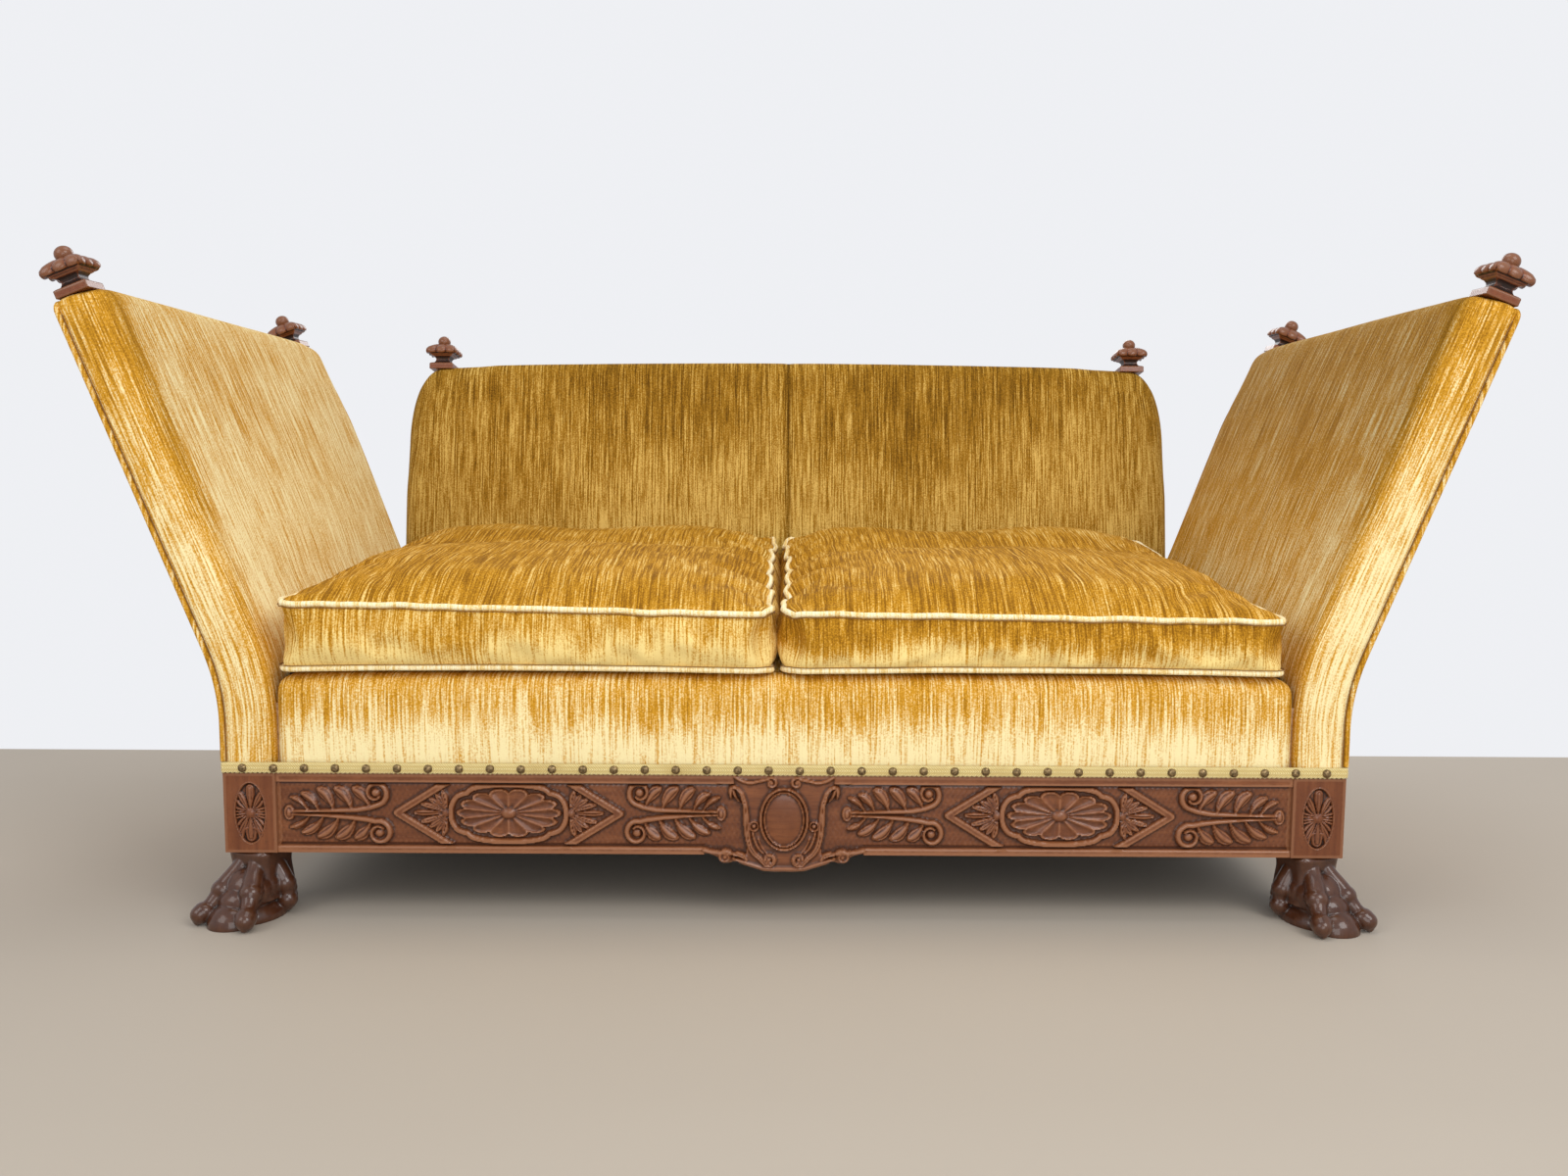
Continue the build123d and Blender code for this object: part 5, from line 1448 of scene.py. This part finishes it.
for angle, chain in toes.items():
    for turn in (-angle, angle):
        c, s = cos(radians(turn)), sin(radians(turn))
        places = [(r * c / 1000, r * s / 1000, h / 1000) for r, h, w in chain]
        swells = [w / 1000 for r, h, w in chain]
        lumps.append(round_bar("toe", places, 1.0, roundness=5, swells=swells))
        tip_x, tip_y, tip_z = places[-1]
        lumps.append(ball_at((tip_x, tip_y, tip_z + sole), swells[-1] * 0.97))
        for knuckle in (3, 6):
            lumps.append(ball_at(places[knuckle], swells[knuckle] * 1.10, (1.0, 1.0, 0.96)))
        if angle < 45:
            nail = tip_x + 0.003 * c, tip_y + 0.003 * s, 0.0065
            lumps.append(ball_at(nail, 0.0072, (1.0, 0.62, 0.85)))
foot_form = joined("foot_form", lumps)
worked(foot_form, "REMESH", mode="VOXEL", voxel_size=foot_cell)
worked(foot_form, "SMOOTH", factor=0.5, iterations=3)
smooth_faces(foot_form)
for vertex in foot_form.data.vertices:
    vertex.co.z = min(max(vertex.co.z, sole), foot_top)


def copied(form, name, where):
    """A copy of a form, moved to its place."""
    piece = bpy.data.objects.new(name, form.data.copy())
    piece.data.name = name
    bpy.context.scene.collection.objects.link(piece)
    piece.data.transform(where)
    return piece


fore, aft = front + block_depth / 2, (block_low.y + block_high.y) / 2
for node, side, y, turn in (
    ("front_left_foot", -1, fore, -90 - foot_turn),
    ("front_right_foot", 1, fore, foot_turn - 90),
    ("rear_left_foot", -1, aft, 90 + foot_turn),
    ("rear_right_foot", 1, aft, 90 - foot_turn),
):
    turned = Matrix.Rotation(radians(turn), 4, "Z")
    moved = Matrix.Translation((side * block_middle / 1000, y, 0))
    foot = copied(foot_form, f"carved_{node}", moved @ turned)
    paint_hollows(foot, 14, 0.0016)
    finished(foot, foot_wood, "base", "carved_walnut", node)
bpy.data.objects.remove(foot_form)

# Finials: redder, lighter turned-square finials that the cords of the arms would go round: a
# bevelled plinth, a waisted neck, a stepped slab, a cap of drooping lobes and a flattened ball.
finial_steps = (
    (0.0, 22.0), (0.6, 22.0), (9.6, 22.0), (11.4, 20.6), (12.0, 16.0), (13.0, 14.4), (16, 12.6), (19, 12.0),
    (22.0, 12.8), (24.6, 15.4), (25.2, 18.8), (27.6, 19.2), (28.0, 21.6), (30.2, 22.0), (30.8, 25.0),
    (32.4, 28.2), (35.4, 29.6), (39.0, 28.8), (42.6, 25.4), (45.6, 20.0), (48.0, 14.0), (49.0, 9.0),
)
levels, halves = zip(*finial_steps)
finial_form = gridded_block("finial_form", (-0.02, -0.02, 0.0), (0.02, 0.02, 0.049), 0.0013)
for vertex in finial_form.data.vertices:
    x, y, z = vertex.co
    z_mm = z * 1000
    half = np.interp(z_mm, levels, halves) / 1000
    a, b = x / 0.02, y / 0.02
    share = min(1.0, max(0.0, (z_mm - 30.4) / 1.6))
    rim = max(abs(a), abs(b))
    side_place = b if abs(a) >= abs(b) else a
    side_place = side_place / rim if rim > 1e-6 else 0.0
    scallop = abs(cos(1.5 * pi * side_place)) ** 0.55
    out = half * (1 - share * 0.13 * (1 - scallop))
    drop = share * rim**2 * (4.6 * scallop - 1.2) * bell(z_mm - 32.5, 8.0)
    ridge = share * 1.5 * (1 - scallop) * rim * bell(z_mm - 41.0, 10.0)
    vertex.co = (a * out, b * out, z - (drop + ridge) / 1000)
ball = ball_at((0, 0, 0.0545), 0.0112, (1.04, 1.04, 0.96))
finial_form = smooth_faces(joined("finial_form", (finial_form, ball)))
paint_hollows(finial_form, 12, 0.0009)


def arm_seat(side, y):
    """Where a finial stands on an arm, square to its top."""
    foot = arm_place(0.0075, *arm_stretch(y, arm_length - 0.0005))
    return Matrix.Translation((side * foot.x, foot.y, foot.z)) @ Matrix.Rotation(side * arm_lean, 4, "Y")


def back_seat(side):
    """Where a finial stands on the back's corner."""
    foot = back_place(side * 0.655, back_thickness / 2, back_corner + 0.0035)
    return Matrix.Translation(foot) @ Matrix.Rotation(-back_tilt, 4, "X")


finials = []
for side, hand in sides:
    for end, y in (("front", 0.027), ("rear", arm_depth - 0.033)):
        finials.append((f"{hand}_{end}_finial", arm_seat(side, y), f"{hand}_arm", f"{hand}_arm_finials"))
for side, hand in sides:
    finials.append((f"{hand}_back_finial", back_seat(side), "base", "back_finials"))
for name, seat, body, node in finials:
    finished(copied(finial_form, name, seat), finial_wood_finish, body, "finial_wood", node)
bpy.data.objects.remove(finial_form)

# Gimp: a pale lemon braid with a pointed lower edge, glued and nailed over the raw edge of the covers.
gimp_low, gimp_height, gimp_lift = 0.196, 0.015, 0.0006
gimp_point, gimp_notch, gimp_thickness = 0.006, 0.0021, 0.0011


def cloth_parts(tree):
    """The place on the piece's cloth map, along it and up it."""
    cloth_map = add_node(tree, "ShaderNodeUVMap", uv_map="cloth")
    parts = add_node(tree, "ShaderNodeSeparateXYZ")
    tree.links.new(cloth_map.outputs["UV"], parts.inputs[0])
    return parts.outputs["X"], parts.outputs["Y"]


def waved(tree, operation, source, length):
    """A wave of this length along a source."""
    return calculated(tree, operation, calculated(tree, "MULTIPLY", source, 2 * pi / length))

# The braid's finish: chevrons of silk across it, a cord along each edge, softly shining threads.
gimp_finish, tree, surface = blank_material("lemon_gimp", Roughness=0.72)
surface.inputs["Sheen Weight"].default_value = 0.3
run, rise = cloth_parts(tree)
off_middle = calculated(tree, "ABSOLUTE", calculated(tree, "SUBTRACT", rise, gimp_height / 2))
slant = calculated(tree, "ADD", run, calculated(tree, "MULTIPLY", off_middle, 0.9))
cords = ramped(tree, waved(tree, "SINE", slant, 0.0031), -1, 1, 0.15, 1.0)
rows = ramped(tree, waved(tree, "COSINE", rise, 0.005), -1, 1, 1.0, 0.45)
weave = calculated(tree, "MULTIPLY", cords, rows)
dirt = clouded(tree, object_place(tree), 22.0, 5.0)
tone = blended(tree, (0.50, 0.34, 0.085, 1), (0.96, 0.82, 0.40, 1), weave)
tone = blended(tree, tone, (0.50, 0.34, 0.10, 1), ramped(tree, dirt, 0.5, 0.8, 0.0, 0.6))
dressed(tree, surface, tone, None, weave, 0.8, 0.0008)


def mapped_grid(name, columns, rows, rule, thickness, offset=1.0):
    """A sheet of cells laid out by a rule from (0-1, 0-1) to places and cloth places, made this thick."""
    grid = bpy.ops.mesh.primitive_grid_add
    sheet = added(name, grid, x_subdivisions=columns, y_subdivisions=rows, size=1)
    mesh = sheet.data
    mesh.uv_layers[0].name = "cloth"
    laid = []
    for vertex in mesh.vertices:
        vertex.co, cloth_place = rule(vertex.co.x + 0.5, vertex.co.y + 0.5)
        laid.append(cloth_place)
    for loop in mesh.loops:
        mesh.uv_layers["cloth"].data[loop.index].uv = laid[loop.vertex_index]
    worked(sheet, "SOLIDIFY", thickness=thickness, offset=offset)
    return smooth_faces(sheet)


side_run, front_run = 0.7457, 1.464


def gimp_rule(across, up):
    """Round the sofa from the left rear, over the front, to the right rear."""
    run = across * (2 * side_run + front_run)
    point = abs(2 * ((run / gimp_point) % 1.0) - 1)
    rise = max(up * gimp_height, gimp_notch * point)
    swell = gimp_lift + 0.0007 * sin(pi * min(1.0, up))
    half = front_run / 2
    if run < side_run:
        place = (-half - swell, front + side_run - run, gimp_low + rise)
    elif run < side_run + front_run:
        place = (run - side_run - half, front - swell, gimp_low + rise)
    else:
        place = (half + swell, front + run - side_run - front_run, gimp_low + rise)
    return place, (run, rise)


def rear_gimp_rule(across, up):
    """Along the foot of the back's outside."""
    run = across * 2 * back_half
    rise = max(up * gimp_height, gimp_notch * abs(2 * ((run / gimp_point) % 1.0) - 1))
    return back_place(back_half - run, back_thickness + gimp_lift, 0.01223 + rise), (run, rise)


for name, cells, rule in (("gimp_round", 2400, gimp_rule), ("gimp_rear", 1180, rear_gimp_rule)):
    strip = mapped_grid(name, cells, 6, rule, gimp_thickness)
    face_outward(strip)
    finished(strip, gimp_finish, "base", "gimp", "gimp_braid")

# Upholstery nails: domed bronze heads darkened with age, driven through the middle of the gimp.
nail_radius, nail_rise, nail_pitch, nail_margin = 0.00575, 0.004, 0.0403, 0.020
braid_face = 0.0019
bronze, tree, surface = blank_material("aged_bronze", Metallic=0.85)
patina = clouded(tree, object_place(tree), 420.0, 4.0)
tone = blended(tree, (0.085, 0.055, 0.025, 1), (0.36, 0.25, 0.12, 1), ramped(tree, patina, 0.35, 0.65))
dull = ramped(tree, patina, 0.3, 0.7, 0.52, 0.30)
dressed(tree, surface, tone, dull, patina, 0.3, 0.0004)

head = added("head", bpy.ops.mesh.primitive_uv_sphere_add, segments=16, ring_count=10, radius=1)
bpy.ops.object.mode_set(mode="EDIT")
bpy.ops.mesh.select_all(action="SELECT")
bpy.ops.mesh.bisect(plane_co=(0, 0, 0.0), plane_no=(0, 0, 1), clear_inner=True, use_fill=True)
bpy.ops.object.mode_set(mode="OBJECT")
for vertex in smooth_faces(head).data.vertices:
    x, y, z = vertex.co
    vertex.co = (x * nail_radius, y * nail_radius, nail_rise * z**0.85 if z > 0 else 0.0)


def nail_row(length):
    """Where the nails stand along a run of gimp, from its middle."""
    count = int((length - 2 * nail_margin) / nail_pitch) + 1
    return [(number - (count - 1) / 2) * nail_pitch for number in range(count)]


nail_z = gimp_low + gimp_height / 2
seats = [((along, front - braid_face, nail_z), quarter, 0) for along in nail_row(front_run)]
for side in (-1, 1):
    for along in nail_row(side_run):
        place = (side * (front_run / 2 + braid_face), front + side_run / 2 + along, nail_z)
        seats.append((place, quarter, side * quarter))
for along in nail_row(2 * back_half):
    seats.append((back_place(along, back_thickness + 0.0018, 0.01973), quarter + back_tilt, pi))
heads = []
for number, (place, lean, turn) in enumerate(seats):
    wobble = noise.noise_vector(Vector((number * 1.7, 0.3, 0.9)))
    tip = Matrix.Rotation(0.10 * wobble.x, 4, "X") @ Matrix.Rotation(0.10 * wobble.y, 4, "Y")
    from_face = Matrix.Translation(Vector(place) + Vector((0, 0, 0.0006 * wobble.z)))
    tilt = Matrix.Rotation(turn, 4, "Z") @ Matrix.Rotation(lean, 4, "X")
    heads.append(copied(head, "nail_head", from_face @ tilt @ tip))
bpy.data.objects.remove(head)
finished(joined("dome_nails", heads), bronze, "base", "nail_bronze", "gimp_nails")

# Webbing: jute strips woven over and under each other and tacked to the beech frames.
jute, tree, surface = blank_material("jute_webbing", Roughness=0.92)
run, rise = cloth_parts(tree)
weave = calculated(tree, "MULTIPLY", waved(tree, "SINE", rise, 0.0022), waved(tree, "SINE", run, 0.0026))
weave = ramped(tree, weave, -1, 1)
stripe = calculated(tree, "ABSOLUTE", calculated(tree, "SUBTRACT", rise, 0.025))
stripe = calculated(tree, "COMPARE", stripe, 0.016, 0.0016)
tone = blended(tree, (0.20, 0.12, 0.05, 1), (0.47, 0.33, 0.17, 1), weave)
dressed(tree, surface, blended(tree, tone, (0.22, 0.035, 0.02, 1), stripe), None, weave, 0.6, 0.0006)


def woven_webs(name, node, body, place, a_half, b_half, a_strips, b_strips, a_pitch, b_pitch, width=0.050):
    """Two sets of strips woven together; place turns (a, b, off) into a place on the sofa."""
    strips = []
    for count, pitch, half, cross, turned in (
        (a_strips, a_pitch, b_half, b_pitch, False),
        (b_strips, b_pitch, a_half, a_pitch, True),
    ):
        for number in range(count):
            middle = (number - (count - 1) / 2) * pitch
            phase = 0.0 if (b_strips if not turned else a_strips) % 2 else 0.5
            over = (-1) ** number * (-1 if turned else 1)

            def rule(along, across):
                run = (2 * along - 1) * half
                off = 0.00085 * over * cos(pi * (run / cross + phase))
                side = middle + (across - 0.5) * width
                a, b = (run, side) if turned else (side, run)
                return place(a, b, off), (run, across * width)

            strips.append(mapped_grid(name, 56, 3, rule, 0.0014, 0.0))
    webs = joined(name, strips)
    face_outward(webs)
    return finished(webs, jute, body, "jute_webbing", node)


def seat_web_place(a, b, off):
    """Under the beams of the seat."""
    return Vector((a, front + 0.3901 + b, 0.1945 + off))


woven_webs("seat_webs", "seat_webbing", "base", seat_web_place, 0.696, 0.3541, 9, 5, 0.1328, 0.12524)


def back_web_place(a, b, off):
    """On the front of the back's frame."""
    return back_place(a, 0.029 - off, 0.336 + b)


woven_webs("back_webs", "back_webbing", "base", back_web_place, 0.697, 0.232, 9, 4, 0.1456, 0.0936)


def slab_place(side, u, y, v):
    """A place in the leaning arm, v up from its hinge."""
    x = hinge_x + u * cos(arm_lean) + v * sin(arm_lean)
    return Vector((side * x, front + y, hinge_z + v * cos(arm_lean) - u * sin(arm_lean)))


for side, hand in sides:
    woven_webs(
        f"{hand}_arm_webs",
        f"{hand}_arm_webbing",
        f"{hand}_arm",
        lambda a, b, off: slab_place(side, -0.015 + off, 0.385 + a, 0.2632 + b),
        a_half=0.3685,
        b_half=0.2605,
        a_strips=4,
        b_strips=3,
        a_pitch=0.1476,
        b_pitch=0.1305,
    )

# Seat filling: hessian stretched over the springs, and a pad of curled hair on it.
hessian_low, hessian_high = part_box("spring_canvas")
hair_low, hair_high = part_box("seat_stuffing")
fillings = {}
for name, deep, pale, scale in (
    ("hessian", (0.22, 0.145, 0.07, 1), (0.50, 0.37, 0.20, 1), 700.0),
    ("curled_hair", (0.012, 0.009, 0.007, 1), (0.11, 0.075, 0.05, 1), 240.0),
):
    fillings[name], tree, surface = blank_material(name, Roughness=0.95)
    mottled = ramped(tree, clouded(tree, object_place(tree), scale, 6.0, Distortion=1.5), 0.35, 0.65)
    dressed(tree, surface, blended(tree, deep, pale, mottled), None, mottled, 0.7, 0.0012)


def canvas_rule(across, up):
    """Drawn down a little between the springs."""
    x = hessian_low.x + across * (hessian_high.x - hessian_low.x)
    y = hessian_low.y + up * (hessian_high.y - hessian_low.y)
    dip = 0.0005 * (cos(2 * pi * x / 0.2213) * cos(2 * pi * (y - front) / 0.2134) - 1)
    return (x, y, hessian_high.z - 0.0012 + dip), (x, y)


canvas = mapped_grid("spring_hessian", 80, 44, canvas_rule, 0.0008, 0.0)
finished(canvas, fillings["hessian"], "base", "hessian", "spring_canvas")
hair = gridded_block("hair_pad", hair_low, hair_high, 0.02)
for vertex in hair.data.vertices:
    rough = noise.noise_vector(vertex.co * 60)
    vertex.co += Vector((0, 0, 0.0010)) * (rough.z - 1) * (1 if vertex.co.z > hair_low.z + 0.01 else 0)
smooth_faces(hair)
finished(hair, fillings["curled_hair"], "base", "hair_stuffing", "seat_stuffing")

# Dust cover: black cambric tacked under the rails, slack enough to hang down near the right front foot.
cambric, tree, surface = blank_material("black_cambric", Roughness=0.93)
threads_and_seam_shadows = clouded(tree, object_place(tree), 900.0, 2.0)
lint = clouded(tree, object_place(tree), 26.0, 7.0, Roughness=0.7)
tone = blended(tree, (0.006, 0.006, 0.007, 1), (0.022, 0.021, 0.022, 1), threads_and_seam_shadows)
tone = blended(tree, tone, (0.07, 0.065, 0.06, 1), ramped(tree, lint, 0.62, 0.85, 0.0, 0.5))
dressed(tree, surface, tone, None, threads_and_seam_shadows, 0.4, 0.0005)
cover_low, cover_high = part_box("dust_cover")
middle_y = (cover_low.y + cover_high.y) / 2
corner_x, corner_y = 0.652, middle_y - (front + block_depth + 0.012)
notch_half, notch_rear = 0.116, front + 0.038
cambric_thickness, cambric_height = 0.0006, 0.0893
grid = bpy.ops.mesh.primitive_grid_add
cambric_cover = added("cambric_cover", grid, x_subdivisions=96, y_subdivisions=56, size=1)
for vertex in cambric_cover.data.vertices:
    x, y, z = vertex.co
    vertex.co = (x * (cover_high.x - cover_low.x), middle_y + y * (cover_high.y - cover_low.y), 0.0)
bpy.ops.object.mode_set(mode="EDIT")
cuts = [((x, 0, 0), (1, 0, 0)) for x in (corner_x, -corner_x)]
cuts += [((0, y, 0), (0, 1, 0)) for y in (middle_y - corner_y, middle_y + corner_y)]
cuts += [((x, 0, 0), (1, 0, 0)) for x in (-notch_half, notch_half)] + [((0, notch_rear, 0), (0, 1, 0))]
for spot, normal in cuts:
    bpy.ops.mesh.select_all(action="SELECT")
    bpy.ops.mesh.bisect(plane_co=spot, plane_no=normal)
bpy.context.tool_settings.mesh_select_mode = (False, False, True)
mesh = bmesh.from_edit_mesh(cambric_cover.data)
for face in mesh.faces:
    spot = face.calc_center_median()
    corner = abs(spot.x) > corner_x and abs(spot.y - middle_y) > corner_y
    notch = abs(spot.x) < notch_half and spot.y < notch_rear
    face.select_set(corner or notch)
bmesh.update_edit_mesh(cambric_cover.data)
bpy.ops.mesh.delete(type="FACE")
bpy.ops.object.mode_set(mode="OBJECT")
for vertex in cambric_cover.data.vertices:
    x, y, z = vertex.co
    inside_x = max(0.0, 1 - (x / 0.66) ** 2)
    inside_y = max(0.0, 1 - ((y - middle_y) / (corner_y + 0.02)) ** 2)
    slack = 0.007 * min(1.0, 3 * inside_x * inside_y) * (1 + 0.4 * ripple(x * 6, y * 6, 2))
    bag = 0.017 * bell(x - 0.53, 0.075) * bell(y - front - 0.13, 0.07)
    wave = 0.0008 * sin(x * 130) * bell(abs(y - middle_y) - 0.39, 0.03)
    vertex.co.z = cambric_height - slack - bag - abs(wave)
worked(cambric_cover, "SOLIDIFY", thickness=cambric_thickness, offset=0.0)
smooth_faces(cambric_cover)
finished(cambric_cover, cambric, "base", "dust_cloth", "dust_cover")

# Hidden frame, springs and hinges: planed beech, dark oiled spring wire and blackened iron. The top rails
# of the arms are cut low toward their rear ends, to stay under the rounded covers.
beech, tree, surface = blank_material("planed_beech", Roughness=0.62)
where = object_place(tree)
grain = streaks(tree, where, 14.0, 160.0, 5.0)
flecks = clouded(tree, where, 320.0, 2.0)
tone = blended(tree, (0.42, 0.24, 0.11, 1), (0.68, 0.47, 0.27, 1), ramped(tree, grain, 0.35, 0.65))
tone = blended(tree, tone, (0.30, 0.15, 0.07, 1), ramped(tree, flecks, 0.62, 0.72, 0.0, 0.5))
dressed(tree, surface, tone, None, grain, 0.2, 0.0005)
crest_foot, crest_height = arm_length - 0.052, 0.044
for side, hand in sides:
    low = (-0.014, 0.016, crest_foot)
    high = (0.031, arm_depth - 0.006, crest_foot + crest_height)
    made_of = 0.001, beech, f"{hand}_arm", "frame_beech", f"{hand}_arm_top_rail"
    crest = bevelled_box(f"{hand}_arm_crest", low, high, *made_of)
    for vertex in crest.data.vertices:
        u, y, s = vertex.co
        spot = arm_place(u, y, s - 0.022 * (y / arm_depth) * (s - crest_foot) / crest_height)
        vertex.co = (side * spot.x, spot.y, spot.z)
    if side < 0:
        face_outward(crest)
made_of = 0.001, beech, "base", "frame_beech", "back_top_rail"
crest = bevelled_box("back_crest", (-0.668, 0.032, 0.5225), (0.668, 0.079, 0.562), *made_of)
for vertex in crest.data.vertices:
    vertex.co = back_place(*vertex.co)
hidden_finishes = {"frame_beech": beech}
for slot_name, dark, light, rough in (
    ("spring_steel", (0.05, 0.045, 0.042, 1), (0.30, 0.22, 0.17, 1), 0.38),
    ("hinge_iron", (0.018, 0.017, 0.016, 1), (0.10, 0.085, 0.075, 1), 0.55),
):
    hidden_finishes[slot_name], tree, surface = blank_material(f"worn_{slot_name}", Metallic=0.9)
    rust = clouded(tree, object_place(tree), 130.0, 6.0, Roughness=0.7)
    tone = blended(tree, dark, light, ramped(tree, rust, 0.4, 0.7))
    dull = ramped(tree, rust, 0.3, 0.7, rough - 0.1, rough + 0.25)
    dressed(tree, surface, tone, dull, rust, 0.25, 0.0004)
for node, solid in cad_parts.items():
    if solid.hide_render:
        continue
    slot_name = "frame_beech"
    if node == "seat_springs":
        slot_name = "spring_steel"
    elif "hinge" in node:
        slot_name = "hinge_iron"
    for number in range(len(solid.data.materials)):
        solid.data.materials[number] = hidden_finishes[slot_name]
